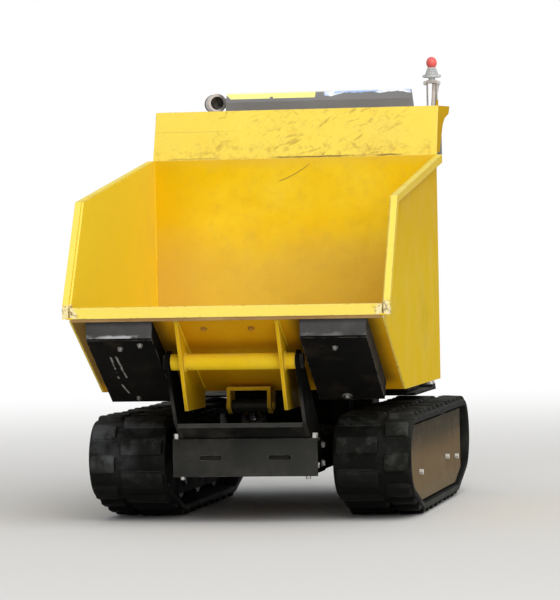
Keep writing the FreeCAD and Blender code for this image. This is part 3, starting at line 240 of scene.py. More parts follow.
def yellow_paint(name, marks, dust, wear, scratch, grime, bleach, sheen):
    """Worn yellow paint; marks is a function that lays on what only one piece has."""
    look = Look(name, YELLOW)
    look.coat(YELLOW_FADED, look.blotch(0.3, 0.8, 4.5, 7, rough=0.6))
    look.coat(YELLOW_DEEP, look.blotch(0.46, 0.74, 9, 7, 3, 0.65), 0.4)
    look.coat((0.66, 0.43, 0.06), look.blotch(0.48, 0.70, 38, 8, 14, 0.7), 0.22)
    look.coat(YELLOW_PALE, bleach)
    look.coat(DUST, look.blotch(0.52, 0.78, 6, 7, 7, 0.62, (1.6, 1, 1)), 0.35 * grime)
    stain = look.times(look.blotch(0.60, 0.74, 15, 8, 2, 0.68), 0.35 * grime)
    look.coat((0.55, 0.34, 0.06), stain)
    for turn, seed in (((0.3, 0.9, 0.2), 1), ((1.2, 0.1, 0.9), 5), ((0.2, -0.5, 1.4), 9)):
        look.coat(DARK_MARK_AND_SHADE, scratches(look, turn, scratch, seed), 0.35 * scratch)
    marks(look)
    look.coat(DUST, look.step(look.facing_z, 0.4, 0.95), look.blotch(0.35, 0.7, 14, 6, 6), dust)
    edge = look.edge(0.004)
    look.coat(PALE_WEAR, edge, 0.6 * wear)
    look.coat(RUST, edge, look.blotch(0.54, 0.62, 60, 5, 8), 0.75 * wear)
    relief = look.plus(look.noise(160, 3), look.times(stain, -0.5))
    return look.finish(look.blotch(-0.9, 1.5, 12, 6, 1), relief, 0.08, sheen=sheen)


def dark_paint(name, colour, faded, dust, wear, bare):
    """Dusty dull paint with bare scraped edges."""
    look = Look(name, colour)
    look.coat(faded, look.blotch(0.35, 0.75, 5, 6))
    look.coat(GREY_DUST, look.blotch(0.42, 0.78, 9, 8, 3, 0.65), dust)
    settled = look.times(look.step(look.facing_z, 0.3, 0.95), look.blotch(0.25, 0.6, 20, 5, 5))
    look.coat(GREY_DUST, settled, min(1.0, dust * 1.6))
    look.coat(bare, look.edge(0.003), look.blotch(0.42, 0.6, 45, 5, 8), wear)
    return look.finish_sheet(0.08)


def metal(name, colour, smoothest, roughest, stain, stained, scale):
    """Bare or cast metal with stains."""
    look = Look(name, colour)
    look.coat([level * 0.7 for level in colour], look.blotch(0.3, 0.7, scale, 6))
    look.coat(stain, look.blotch(0.5, 0.68, scale * 0.6, 7, 4), stained)
    look.feed("Metallic", 1.0)
    roughness = look.span(look.noise(scale * 2, 5, 2), smoothest, roughest)
    return look.finish(roughness, look.noise(scale * 6, 4), 0.2)


def plastic(name, colour, roughness, dust):
    """Moulded plastic or rubber with a fine grain and a little dust."""
    look = Look(name, colour)
    look.coat([level * 1.5 + 0.004 for level in colour], look.blotch(0.35, 0.75, 8, 6))
    look.coat(GREY_DUST, look.step(look.facing_z, 0.2, 0.95), look.blotch(0.3, 0.7, 18, 6, 2), dust)
    spread = look.span(look.noise(30, 4, 3), roughness - 0.1, roughness + 0.12)
    return look.finish(spread, look.noise(400, 2), 0.12, sheen=0.3)


def track_rubber(name, shade):
    """Worn dusty rubber, with a painted sky reflection on the front of one outer shoulder and painted shade
    low down and on its side faces; shade under 1 darkens it as painted shade for the hollows between the
    lugs.
    """
    def tone(*levels):
        return [level * shade for level in levels]

    look = Look(name, tone(0.0055, 0.006, 0.005))
    look.coat(tone(0.0225, 0.0235, 0.0195), look.blotch(0.3, 0.75, 6, 6))
    look.coat(tone(0.066, 0.067, 0.060), look.blotch(0.50, 0.66, 15, 7, 13, 0.6), 0.55)
    look.coat(tone(0.058, 0.059, 0.048), look.blotch(0.48, 0.72, 34, 8, 5, 0.7), 0.45)
    look.coat(tone(0.085, 0.083, 0.070), look.edge(0.006, 0.02, 0.3), look.blotch(0.3, 0.62, 26, 5, 3), 0.45)
    height = look.ragged(look.z, 0.06, 7, 5, 9)
    # painted sky reflection: a bluish grey patch on the front of the outer shoulder of the track on -X
    front = look.step(look.y, TRACK_LOW.y + 0.10, TRACK_LOW.y + 0.06)
    shoulder_reflection = look.times(look.step(look.x, -0.245, -0.300), front, look.step(height, 0.105, 0.145))
    look.coat(tone(0.085, 0.087, 0.092), shoulder_reflection, look.blotch(0.35, 0.6, 22, 6, 17), 0.75)
    # painted shade: the rubber near black low down
    look.coat((0.0020, 0.0020, 0.0018), look.step(height, 0.145, 0.065), 0.92)
    # painted shade: the belt's side faces darkened
    flank = look.step(look.size(look.facing_x), 0.75, 0.95)
    look.coat((0.0035, 0.003, 0.0028), flank, 0.85)
    look.coat((0.034, 0.036, 0.029), flank, look.step(look.z, 0.040, 0.028), 0.8)
    roughness = look.span(look.noise(18, 5, 2), 0.55, 0.9)
    return look.finish(roughness, look.noise(90, 5, rough=0.7), 0.35, 0.0015, 0.002, 0.09)


# Marks, and painted light and shade, on the skip's yellow pieces

def no_marks(look):
    """Paint with nothing but its common wear."""


def scuffs(look, lean, seed, scale):
    """Short fine worn strokes that lean to the right on a sheet that faces the front."""
    turned = {"Vector": look.place, "Angle": -lean}
    tilted = look.node("VectorRotate", turned, rotation_type="Y_AXIS")
    return look.blotch(0.58, 0.70, scale, 3, seed, 0.6, (1, 1, 0.18), place=tilted)


def rubbed_corners(look):
    """Paint rubbed off and rusty where the lip meets the sides."""
    across = look.less(look.size(look.x), INSIDE_X + 0.004)
    off = look.ragged(look.away(across, look.less(look.z, LIP_TOP - 0.010)), 0.03, 55, 6, 4)
    front = look.step(look.y, LIP_Y + 0.030, LIP_Y + 0.018)
    look.coat((0.88, 0.78, 0.50), look.step(off, 0.022, 0.012), front, 0.75)
    look.coat(RUST, look.step(off, 0.028, 0.014), look.blotch(0.50, 0.60, 110, 6, 7, 0.7), front, 0.75)


def headboard_marks(look):
    """Mottled all over, scuffed in its middle, with a dark line at its fold and one long thin scratch."""
    fold = BACK_HIGH.z
    look.coat((0.86, 0.55, 0.03), look.blotch(0.52, 0.72, 22, 6, 31, 0.7), 0.3)
    near = look.band(look.z, fold + 0.010, 0.006, 0.04)
    look.coat(SCUFF, near, look.blotch(0.46, 0.70, 48, 8, 5, 0.7), 0.50)
    leaning = look.larger(scuffs(look, 0.75, 13, 80), scuffs(look, 1.15, 21, 70))
    strokes = look.larger(leaning, look.times(scuffs(look, -0.6, 40, 100), 0.7))
    middle = look.band(look.x, 0.03, 0.19, 0.12)
    look.coat(SCUFF, strokes, middle, look.blotch(0.36, 0.58, 9, 4, 15), 0.55)
    line = look.band(look.ragged(look.z, 0.006, 40, 5, 2), fold + 0.0025, 0.0009, 0.0022)
    strong = look.band(look.x, 0.105, 0.14, 0.04)
    faint = look.times(look.band(look.x, -0.21, 0.09, 0.03), 0.45)
    look.coat(DARK_MARK_AND_SHADE, line, look.larger(strong, faint), look.blotch(0.34, 0.50, 8, 4, 11), 0.85)
    scratch = look.band(look.ragged(look.z, 0.02, 3, 2, 9), 0.919, 0.0003, 0.0012)
    look.coat(SCUFF, scratch, look.step(look.x, -0.12, -0.22), 0.3)


def back_marks(look):
    """Paler at its top, deeper on one side, dusty at its foot, with a slanting smear and strokes."""
    look.coat((0.74, 0.50, 0.09), look.step(look.ragged(look.z, 0.03, 5, 5, 9), 0.815, 0.865), 0.5)
    look.coat((0.72, 0.44, 0.0005), look.step(look.ragged(look.x, 0.12, 5, 6, 12), -0.18, -0.34), 0.70)
    look.coat(FOOT_DUST, look.step(look.ragged(look.z, 0.14, 4, 5, 3), 0.715, 0.565), 0.36)
    run = look.less(look.x, 0.001)
    bowed = look.plus(look.times(run, 0.53), look.times(run, run, 2.6))
    smear = look.band(look.ragged(look.less(look.z, bowed), 0.003, 50, 4), 0.8095, 0.0008, 0.0022)
    look.coat(SCUFF, smear, look.band(run, 0.0, 0.030, 0.014), 0.75)
    spot = look.times(look.band(look.x, 0.115, 0.05, 0.05), look.band(look.z, 0.822, 0.012, 0.02))
    look.coat(SCUFF, scuffs(look, 0.7, 33, 60), spot, 0.4)


def side_marks_and_light(look, side):
    """Painted brighter within as painted bounce light and a little dusty, painted deeper outside as painted
    shade and worn there, with a bleached rim.
    """
    inward = look.times(look.facing_x, -side)
    inside = look.step(inward, 0.2, 0.6)
    outside = look.step(inward, -0.2, -0.6)
    # lit and shaded copies of the paint: brighter inside as painted bounce light, deeper outside as painted
    # shade, deeper still near its top
    look.coat((1.0, 0.735, 0.040), inside, 0.97)
    look.coat((0.74, 0.485, 0.002), outside, 0.9)
    look.coat((0.70, 0.41, 0.0005), outside, look.step(look.z, 0.52, 0.72), 0.55)
    worn = look.times(look.blotch(0.52, 0.68, 5, 7, 12, 0.65), look.step(look.z, 0.62, 0.34))
    look.coat((0.42, 0.30, 0.03), outside, worn, 0.35)
    look.coat(DUST, inside, look.step(look.ragged(look.z, -0.2, 4, 5, 3), 0.50, 0.30), 0.15)
    look.coat(DUST, inside, look.step(look.y, -0.15, 0.12), look.blotch(0.3, 0.75, 8, 6, 2), 0.15)
    proud = look.step(look.times(look.x, side), INSIDE_X + 0.0045, INSIDE_X + 0.0050)
    upper = look.step(look.facing_z, -0.2, 0.2)
    front = look.step(look.facing_y, -0.3, -0.7)
    look.coat(YELLOW_PALE, look.larger(look.times(proud, upper), front), 0.7)
    rubbed_corners(look)


def painted_under_shade(look, deep, foot_shade):
    """A deeper, oranger colour all over as painted shade under the skip, and painted shade on the feet of
    what hangs under it.
    """
    # painted shade with orange bounce light: a deep orange tint all over
    look.coat((0.64, 0.36, 0.0006), look.blotch(-0.4, 0.7, 5, 6, 4), deep)
    # painted shade on the feet, reaching higher on the flanks
    height = look.ragged(look.z, 0.03, 9, 5, 8)
    flank = look.step(look.size(look.facing_x), 0.4, 0.8)
    on_flank = look.times(flank, look.step(height, 0.395, 0.285))
    look.coat((0.13, 0.075, 0.001), look.larger(on_flank, look.step(height, 0.335, 0.235)), foot_shade)


def floor_marks_and_shade(look):
    """Soil and bare streaks on its top, painted shade underneath (deep orange, darker round the boxes),
    bleached along its lip.
    """
    up = look.step(look.facing_z, 0.3, 0.8)
    down = look.step(look.facing_z, -0.2, -0.7)
    slope = look.step(look.y, BOX_HIGH.y + 0.03, BOX_HIGH.y - 0.02)
    look.coat(DUST, up, look.blotch(0.32, 0.62, 6, 8, 4, 0.65), 0.75)
    look.coat((0.20, 0.15, 0.09), up, look.blotch(0.55, 0.66, 3, 7, 8, stretch=(6, 1, 1)), 0.55)
    # painted shade under the floor and slope: a deep orange tint of bounce light
    look.coat((0.62, 0.275, 0.0003), down, look.blotch(-0.3, 0.7, 4, 7, 1), 0.95)
    # painted shadow of the boxes on the slope round them
    off = look.ragged(look.size(look.x), 0.02, 6, 5, 6)
    inner = look.step(off, BOX_LOW.x - 0.045, BOX_LOW.x - 0.002)
    outer = look.step(off, BOX_HIGH.x + 0.040, BOX_HIGH.x - 0.002)
    look.coat((0.11, 0.055, 0.004), down, inner, outer, slope, 0.85)
    front = look.step(look.y, LIP_Y + 0.0125, LIP_Y + 0.0115)
    look.coat(YELLOW_PALE, front, look.step(look.z, LIP_TOP - 0.026, LIP_TOP - 0.024), 0.75)
    # painted shade on the slope's underside beyond the box on -X
    outside = look.step(look.x, 0.004 - BOX_HIGH.x, -0.004 - BOX_HIGH.x)
    look.coat(DARK_MARK_AND_SHADE, down, outside, slope, 0.80)
    rubbed_corners(look)


# Looks of single pieces

def cover_paint(name):
    """Taupe sheet with a painted shadow, darker and greener, near its top, its grain drawn out along the
    machine.
    """
    look = Look(name, (0.134, 0.090, 0.044))
    along = (1, 0.22, 1)
    look.coat((0.178, 0.122, 0.064), look.blotch(0.25, 0.8, 4, 6, stretch=along))
    # painted shadow of the belt's upper run: the sheet darker and greener near its top
    upper = look.step(look.ragged(look.z, 0.03, 6, 3, 2, stretch=along), 0.120, 0.200)
    look.coat((0.036, 0.034, 0.024), upper, 0.85)
    look.coat((0.30, 0.25, 0.18), look.blotch(0.5, 0.75, 20, 8, 6, 0.7, along), 0.22)
    look.coat((0.17, 0.15, 0.095), look.step(look.z, 0.075, 0.045), 0.45)
    look.coat((0.30, 0.27, 0.23), look.edge(0.003), look.blotch(0.4, 0.6, 40, 4, 3), 0.6)
    bolt_head = look.step(look.size(look.x), COVER_HIGH.x - 0.0090, COVER_HIGH.x - 0.0085)
    look.coat((0.62, 0.60, 0.57), bolt_head)
    look.feed("Metallic", look.times(bolt_head, 0.8))
    relief = look.noise(60, 6, rough=0.7, stretch=along)
    return look.finish(look.blotch(-1.2, 0.9, 20, 4), relief, 0.2, 0.0012, sheen=0.1)


def console_paint(name):
    """Grey sheet with a yellow band along its top on one side and a painted pale sky reflection on the
    other.
    """
    look = Look(name, (0.17, 0.165, 0.165))
    look.coat((0.25, 0.245, 0.24), look.blotch(0.3, 0.75, 5, 6))
    level = look.less(look.z, CONSOLE_HIGH.z)
    front = look.step(look.y, CONSOLE_LOW.y + 0.048, CONSOLE_LOW.y + 0.046)
    slant = look.plus(look.x, look.times(level, 1.1))
    run = look.times(look.step(slant, -0.246, -0.245), look.step(look.x, -0.006, -0.008))
    nick = look.times(look.band(look.x, -0.121, 0.003, 0.002), look.step(level, -0.010, -0.013))
    yellow = look.times(look.step(level, -0.0165, -0.0155), look.less(1.0, nick))
    look.coat((1.0, 0.97, 0.30), yellow, run, front)
    # painted sky reflection: a pale blue and white wavy band along the top on the other side
    pale = look.mix(look.blotch(0.42, 0.56, 20, 3, 8), (0.30, 0.48, 0.86), (0.90, 0.93, 0.97))
    high = look.step(look.ragged(level, 0.035, 16, 3, 4), -0.010, -0.0085)
    look.coat(pale, high, look.step(look.ragged(look.x, 0.0525, 16, 3, 4), 0.020, 0.026), front)
    # painted highlight: a thin light line along the top front edge
    look.coat((0.75, 0.76, 0.76), look.band(level, -0.0008, 0.001, 0.0015), front, 0.6)
    look.coat((0.5, 0.48, 0.45), look.edge(0.003), look.blotch(0.45, 0.6, 40, 4, 3), 0.5)
    return look.finish(look.blotch(-0.8, 1.6, 20, 4), look.noise(150, 3), 0.1)


def lever_look(name):
    """Bright stems with black balls, told apart by how far back they reach."""
    look = Look(name, (0.42, 0.42, 0.41))
    look.coat((0.014, 0.014, 0.014), look.step(look.y, 0.652, 0.654))
    look.coat((0.10, 0.09, 0.07), look.blotch(0.5, 0.7, 60, 6), 0.4)
    return look.finish(look.blotch(-0.3, 2.0, 40, 3), look.noise(200, 3), 0.1)


def rod_look(name):
    """Chrome rod whose eye is near black as painted shade, with painted shade fading out round it."""
    look = Look(name, (0.30, 0.30, 0.30))
    look.coat((0.20, 0.20, 0.20), look.blotch(0.3, 0.7, 14, 6))
    up = look.less(look.z, EYE_HIGH.z - EYE_RADIUS)
    off = look.away(look.less(look.y, EYE_LOW.y + EYE_RADIUS), up)
    # painted shade: the eye near black and the rod dark round it, where it sits in the bracket's gap
    eye = look.step(off, EYE_RADIUS + 0.0035, EYE_RADIUS + 0.0025)
    shade_round_eye = look.times(look.step(off, EYE_RADIUS + 0.040, EYE_RADIUS + 0.022), 0.85)
    look.coat((0.004, 0.004, 0.003), look.larger(eye, shade_round_eye))
    look.feed("Metallic", look.less(1.0, eye))
    roughness = look.plus(look.times(look.noise(20, 4), 0.16), look.times(eye, 0.5))
    return look.finish(roughness, look.noise(90, 4), 0.1, sheen=0.2)


def tube_look(name):
    """Pale grey tube, with painted shade on one side of its mouth."""
    look = Look(name, (0.56, 0.50, 0.47))
    look.coat((0.72, 0.66, 0.62), look.blotch(0.3, 0.75, 30, 6))
    # painted shade on the far side of the tube's mouth
    mouth = look.step(look.y, TUBE_LOW.y + 0.030, TUBE_LOW.y + 0.012)
    shade = look.step(look.x, (TUBE_LOW.x + TUBE_HIGH.x) / 2 + 0.008, TUBE_HIGH.x - 0.008)
    look.coat((0.050, 0.045, 0.045), mouth, shade, 0.88)
    return look.finish(look.blotch(-0.4, 1.6, 40, 4, 3), look.noise(300, 2), 0.12, sheen=0.3)


def box_look(name):
    """Black sheet, brownish in patches, with pale scrapes down one face and a painted reflection on one
    box's outer flank.
    """
    look = Look(name, NEAR_BLACK)
    look.coat((0.010, 0.009, 0.007), look.blotch(0.35, 0.75, 5, 6))
    upper = look.step(look.z, (BOX_LOW.z + BOX_HIGH.z) / 2, BOX_HIGH.z - 0.010)
    brown = look.plus(look.times(upper, 0.45), 0.3)
    look.coat((0.048, 0.035, 0.020), look.blotch(0.5, 0.72, 9, 8, 3, 0.65), brown)
    down = look.step(look.facing_z, -0.3, -0.6)
    broken = look.blotch(0.36, 0.5, 24, 5, 9)
    for x, lean, low_y, high_y in SCRAPES:
        off = look.less(look.x, look.times(look.less(look.y, low_y), lean))
        line = look.band(look.ragged(off, -0.006, 30, 5, 6), x, 0.0013, 0.0016)
        along = look.band(look.y, (low_y + high_y) / 2, (high_y - low_y) / 2, 0.006)
        look.coat((0.32, 0.31, 0.28), line, along, down, broken, 0.75)
    # painted reflection: the outer flank of the box on +X lighter, as reflected yellow light
    flank = look.times(look.step(look.facing_x, 0.4, 0.8), look.step(look.x, 0.0, 0.1))
    look.coat((0.050, 0.042, 0.032), flank, look.blotch(0.15, 0.7, 14, 6, 5), 0.85)
    look.coat((0.22, 0.20, 0.165), look.edge(0.0035), look.blotch(0.40, 0.58, 38, 5, 8), 0.8)
    return look.finish_sheet(0.06)


def bar_look(name):
    """Slate flat bar, bright and ragged along its lower edge."""
    look = Look(name, (0.036, 0.035, 0.034))
    look.coat((0.082, 0.080, 0.078), look.blotch(0.3, 0.75, 9, 6))
    level = look.less(look.z, BAR_TOP)
    look.coat((0.010, 0.010, 0.011), look.step(level, -0.016, -0.002))
    silver = look.step(look.ragged(level, 0.016, 26, 5, 3), 0.0085 - BAR_DROP, 0.0035 - BAR_DROP)
    near = look.plus(look.times(look.step(look.x, BOX_LOW.x + 0.034, BOX_LOW.x + 0.012), 0.8), 0.2)
    look.coat((0.46, 0.46, 0.47), silver, look.blotch(0.38, 0.52, 17, 5, 9), near, 0.95)
    return look.finish_sheet(0.2, -0.6, 1.3)


def upright_look(name):
    """Black flanks, and front edges rubbed to grey low down."""
    look = Look(name, NEAR_BLACK)
    look.coat((0.007, 0.007, 0.006), look.blotch(0.35, 0.75, 5, 6))
    rubbed = look.times(look.step(look.facing_y, -0.25, -0.6), look.step(look.z, 0.33, 0.26))
    look.coat((0.060, 0.056, 0.050), rubbed, look.blotch(0.1, 0.6, 12, 5, 4), 0.8)
    return look.finish_sheet(0.03)


# name: marks and painted light and shade, dust, wear of the edges, scratches, grime, bleach, sheen
YELLOWS = {
    "yellow_left": (partial(side_marks_and_light, side=1), 0.2, 0.7, 0.2, 0.25, 0.0, 0.05),
    "yellow_right": (partial(side_marks_and_light, side=-1), 0.2, 0.3, 0.2, 0.25, 0.0, 0.05),
    "yellow_floor": (floor_marks_and_shade, 0.45, 1.0, 0.9, 0.6, 0.0, 0.05),
    "yellow_back": (back_marks, 0.2, 0.6, 0.2, 0.25, 0.0, 0.04),
    "yellow_head": (headboard_marks, 0.2, 1.0, 0.5, 0.5, 0.55, 0.12),
    "yellow_tube": (partial(painted_under_shade, deep=0.35, foot_shade=0.0), 0.2, 0.6, 0.4, 0.5, 0.0, 0.10),
    "yellow_gusset": (partial(painted_under_shade, deep=0.85, foot_shade=0.70), 0.25, 0.45, 0.4, 0.5, 0.0, 0.05),
    "yellow_bracket": (partial(painted_under_shade, deep=0.9, foot_shade=0.75), 0.25, 0.6, 0.4, 0.6, 0.0, 0.05),
    "yellow_weld": (no_marks, 0.2, 0.3, 0.1, 0.6, 0.0, 0.12),
}
# name: colour, faded colour, dust, wear of the edges, colour of the bare edges
DARK_PAINTS = {
    "black_paint": ((0.004, 0.004, 0.004), (0.012, 0.012, 0.011), 0.35, 0.5, BARE_STEEL),
    "bumper_grey": ((0.020, 0.020, 0.018), (0.032, 0.032, 0.029), 0.35, 0.5, BARE_STEEL),
    "apron_grey": ((0.030, 0.030, 0.028), (0.050, 0.049, 0.045), 0.3, 0.9, BARE_STEEL),
    "bolt_ochre": ((0.36, 0.15, 0.02), (0.62, 0.33, 0.03), 0.15, 0.8, (0.26, 0.10, 0.04)),
    # the strip under the lip bar, brown partly as rust and partly as painted shade under the bar
    "strip_shade_and_rust": ((0.30, 0.17, 0.06), (0.52, 0.33, 0.13), 0.1, 0.6, (0.75, 0.6, 0.3)),
    # the headboard's yellow flange and ear, painted ochre as painted shade
    "flare_painted_shade": ((0.52, 0.30, 0.004), (0.66, 0.42, 0.01), 0.12, 0.5, (0.85, 0.68, 0.2)),
}
# name: colour, least and greatest roughness, stain, share stained, scale of the pattern
METALS = {
    "bright_steel": ((0.62, 0.61, 0.58), 0.22, 0.5, (0.24, 0.17, 0.10), 0.35, 30),
    "dull_steel": ((0.34, 0.33, 0.31), 0.3, 0.6, (0.10, 0.08, 0.06), 0.7, 80),
    "cast_iron": ((0.20, 0.195, 0.19), 0.45, 0.75, GREY_DUST, 0.6, 30),
    "chrome_rod": ((0.30, 0.30, 0.30), 0.16, 0.32, (0.08, 0.07, 0.055), 0.5, 14),
    "engine_alloy": ((0.52, 0.52, 0.50), 0.38, 0.62, (0.12, 0.10, 0.07), 0.5, 30),
    "muffler_steel": ((0.40, 0.36, 0.33), 0.35, 0.6, (0.20, 0.11, 0.06), 0.7, 30),
}
# name: colour, roughness, dust
PLASTICS = {
    "black_plastic": ((0.012, 0.012, 0.012), 0.5, 0.2),
    "grip_rubber": ((0.010, 0.010, 0.010), 0.65, 0.2),
    "pad_rubber": ((0.012, 0.012, 0.012), 0.75, 0.5),
    "tank_paint": ((0.52, 0.50, 0.44), 0.3, 0.35),
    "knob_red": ((0.62, 0.10, 0.09), 0.22, 0.1),
    "gaiter_grey": ((0.44, 0.45, 0.45), 0.5, 0.3),
    "level_glass": ((0.42, 0.24, 0.05), 0.12, 0.1),
}
# the valley copy is the same rubber at half the brightness, as painted shade in the hollows between the lugs
RUBBERS = {"rubber_lugs": (1.0,), "rubber_valley": (0.5,)}
KINDS = ((yellow_paint, YELLOWS), (dark_paint, DARK_PAINTS), (metal, METALS), (plastic, PLASTICS),
         (track_rubber, RUBBERS))
SINGLES = {
    "cover_paint": cover_paint, "console_grey": console_paint, "lever_plastic": lever_look,
    "rod_and_eye": rod_look, "tube_grey": tube_look, "box_black": box_look, "bar_grey": bar_look,
    "upright_black": upright_look,
}

looks = {name: kind(name, *row) for kind, table in KINDS for name, row in table.items()}
looks.update({name: single(name) for name, single in SINGLES.items()})

# look: the model's own pieces that wear it
NODE_LOOKS = {
    "black_paint": "main_frame deck track_frame_left track_frame_right frame_pins belt_guard oil_tank "
                   "handlebar_left handlebar_right cylinder_barrel",
    "upright_black": "upright_left upright_right", "bumper_grey": "bumper",
    "cover_paint": "track_cover_left track_cover_right", "rubber_lugs": "track_left track_right",
    "cast_iron": "wheels_left wheels_right sprocket_left sprocket_right gearbox tipping_valve",
    "pad_rubber": "rest_pads", "engine_alloy": "engine_block", "black_plastic": "recoil_starter air_filter",
    "tank_paint": "fuel_tank", "muffler_steel": "muffler", "grip_rubber": "grips",
    "console_grey": "console", "lever_plastic": "console_levers", "tube_grey": "document_tube",
    "yellow_left": "skip_side_left", "yellow_right": "skip_side_right", "yellow_floor": "skip_floor",
    "yellow_back": "skip_back", "yellow_head": "headboard", "yellow_gusset": "gussets",
    "yellow_tube": "pivot_tube", "yellow_bracket": "cylinder_bracket",
    "box_black": "slope_box_left slope_box_right", "chrome_rod": "cylinder_stage",
    "rod_and_eye": "cylinder_rod",
}
for look_name, nodes in NODE_LOOKS.items():
    for node in nodes.split():
        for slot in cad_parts[node].material_slots:
            slot.material = looks[look_name]


# Mesh kit

# Bolt heads: width over the flats, height, radius of the washer
SCREW = (0.008, 0.004, 0.0055)
SMALL_BOLT = (0.009, 0.004, 0.006)
LARGE_BOLT = (0.013, 0.007, 0.010)
SCREW_PLUG = (0.016, 0.008, 0.011)

X_AXIS = (1, 0, 0)
Y_AXIS = (0, 1, 0)
Z_AXIS = (0, 0, 1)
TO_FRONT = (0, -1, 0)
DOWN = (0, 0, -1)


def piece(name, mesh_maker, materials, body, replaces):
    """One object of the scene, built in row coordinates and riding on a body."""
    bm = bmesh.new()
    mesh_maker(bm)
    bmesh.ops.recalc_face_normals(bm, faces=bm.faces)
    mesh = bpy.data.meshes.new(name)
    bm.to_mesh(mesh)
    bm.free()
    for material in materials:
        mesh.materials.append(material)
    mesh.polygons.foreach_set("use_smooth", [True] * len(mesh.polygons))
    mesh.set_sharp_from_angle(angle=math.radians(35))
    made = bpy.data.objects.new(name, mesh)
    bpy.context.scene.collection.objects.link(made)
    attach(made, body)
    if replaces:
        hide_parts(*replaces)


def turned_to(origin, axis):
    """A placement whose own Z runs along axis from origin."""
    return Matrix.Translation(origin) @ Vector(axis).to_track_quat("Z", "Y").to_matrix().to_4x4()


def add_box(bm, corner, opposite, round_edges, segments=2, index=0):
    """A box between two opposite corners, with rounded edges."""
    corner, opposite = Vector(corner), Vector(opposite)
    size = [abs(length) for length in opposite - corner]
    matrix = Matrix.Translation((corner + opposite) / 2) @ Matrix.Diagonal((*size, 1))
    corners = bmesh.ops.create_cube(bm, size=1.0, matrix=matrix)["verts"]
    flats = {face for vertex in corners for face in vertex.link_faces}
    edges = list({edge for vertex in corners for edge in vertex.link_edges})
    rounded = bmesh.ops.bevel(bm, geom=edges, offset=round_edges, segments=segments, profile=0.5,
                              affect="EDGES", clamp_overlap=True)["faces"]
    for face in set(rounded) | {face for face in flats if face.is_valid}:
        face.material_index = index


def add_lathe(bm, profile, place, segments=32, index=0, wobble=None):
    """A turned shape: profile is (radius, height) points along the placement's Z."""
    rings = []
    for radius, height in profile:
        ring = []
        for i in range(segments if radius > 0 else 1):
            angle = 2 * math.pi * i / segments
            reach = radius * (wobble(angle, height) if wobble else 1.0)
            point = Vector((reach * math.cos(angle), reach * math.sin(angle), height))
            ring.append(bm.verts.new(place @ point))
        rings.append(ring)
    for lower, upper in zip(rings, rings[1:]):
        for i in range(segments):
            j = (i + 1) % segments
            if len(lower) == 1 and len(upper) == 1:
                continue
            if len(lower) == 1:
                corners = (lower[0], upper[i], upper[j])
            elif len(upper) == 1:
                corners = (lower[i], upper[0], lower[j])
            else:
                corners = (lower[i], upper[i], upper[j], lower[j])
            bm.faces.new(corners).material_index = index
    for ring in (rings[0], rings[-1]):
        if len(ring) > 1:
            bm.faces.new(ring).material_index = index


def add_bolt(bm, origin, axis, width, height, washer=0.0, index=0):
    """A hexagon bolt head with a chamfered top, on a washer if one is given."""
    place = turned_to(origin, axis)
    base = 0.0
    if washer:
        base = height * 0.22
        ring = [(0, 0), (washer, 0), (washer, base * 0.8), (washer * 0.97, base), (0, base)]
        add_lathe(bm, ring, place, 28, index)
    radius = width / 2 / math.cos(math.pi / 6)
    head = [(0, base), (radius, base), (radius, base + height * 0.8), (radius * 0.86, base + height),
            (0, base + height)]
    add_lathe(bm, head, place, 6, index)


def add_bead(bm, start, end, radius):
    """A weld bead: a low rippled ridge along a line."""
    start, end = Vector(start), Vector(end)
    length = (end - start).length
    count = max(6, int(length / 0.004))
    random.seed(int(length * 1e5))
    profile = [(0, 0)]
    for i in range(count + 1):
        ripple = 1.0 if i % 2 else 0.78
        profile.append((radius * ripple * random.uniform(0.9, 1.06), length * i / count))
    profile.append((0, length))
    add_lathe(bm, profile, turned_to(start, end - start), 8)


def rounded_loop(half_u, half_v, corner, side_steps=3, corner_steps=4):
    """Points of a rounded rectangle, anticlockwise, with its sides divided too."""
    arcs = []
    for quarter, (u, v) in enumerate(((1, 1), (-1, 1), (-1, -1), (1, -1))):
        arc = []
        for step in range(corner_steps + 1):
            angle = math.pi / 2 * (quarter + step / corner_steps)
            arc.append(Vector((u * (half_u - corner) + corner * math.cos(angle),
                               v * (half_v - corner) + corner * math.sin(angle))))
        arcs.append(arc)
    points = []
    for arc, after in zip(arcs, arcs[1:] + arcs[:1]):
        points += arc
        points += [arc[-1].lerp(after[0], (step + 1) / (side_steps + 1)) for step in range(side_steps)]
    return points


def join_loops(bm, loops, index=0, closed=False):
    """Faces between loops of the same length, one after another."""
    pairs = list(zip(loops, loops[1:])) + ([(loops[-1], loops[0])] if closed else [])
    for lower, upper in pairs:
        for i in range(len(lower)):
            j = (i + 1) % len(lower)
            bm.faces.new((lower[i], lower[j], upper[j], upper[i])).material_index = index


# Tracks

END_RADIUS = 0.102            # over the lugs, round the idler and the sprocket
CORNER_RADIUS = 0.0683        # over the lugs, round the first and last ground rollers
GROUND_INSET = 0.245
CARCASS = 0.015
LUG_RISE = 0.012
LUG_COUNT = 31
LUG_LENGTH = 0.041
LUG_CORNER = 0.008
LUG_UNEVEN = 0.0022           # how far a lug's outline strays
LUG_WEAR = 0.16               # share of its height that a lug has lost on its worn side
OUTER_SHARE = 0.38            # of the width, taken by the outer column of lugs
COLUMN_MARGIN = 0.0025
BELT_STATIONS = 300
# How far a level of a lug lies inside its outline, and its share of the rise
LUG_LEVELS = ((-0.0010, -0.10), (0.0, 0.10), (0.0018, 0.62), (0.0026, 0.84), (0.0042, 0.96), (0.0070, 1.0),
              (0.0150, 1.0))


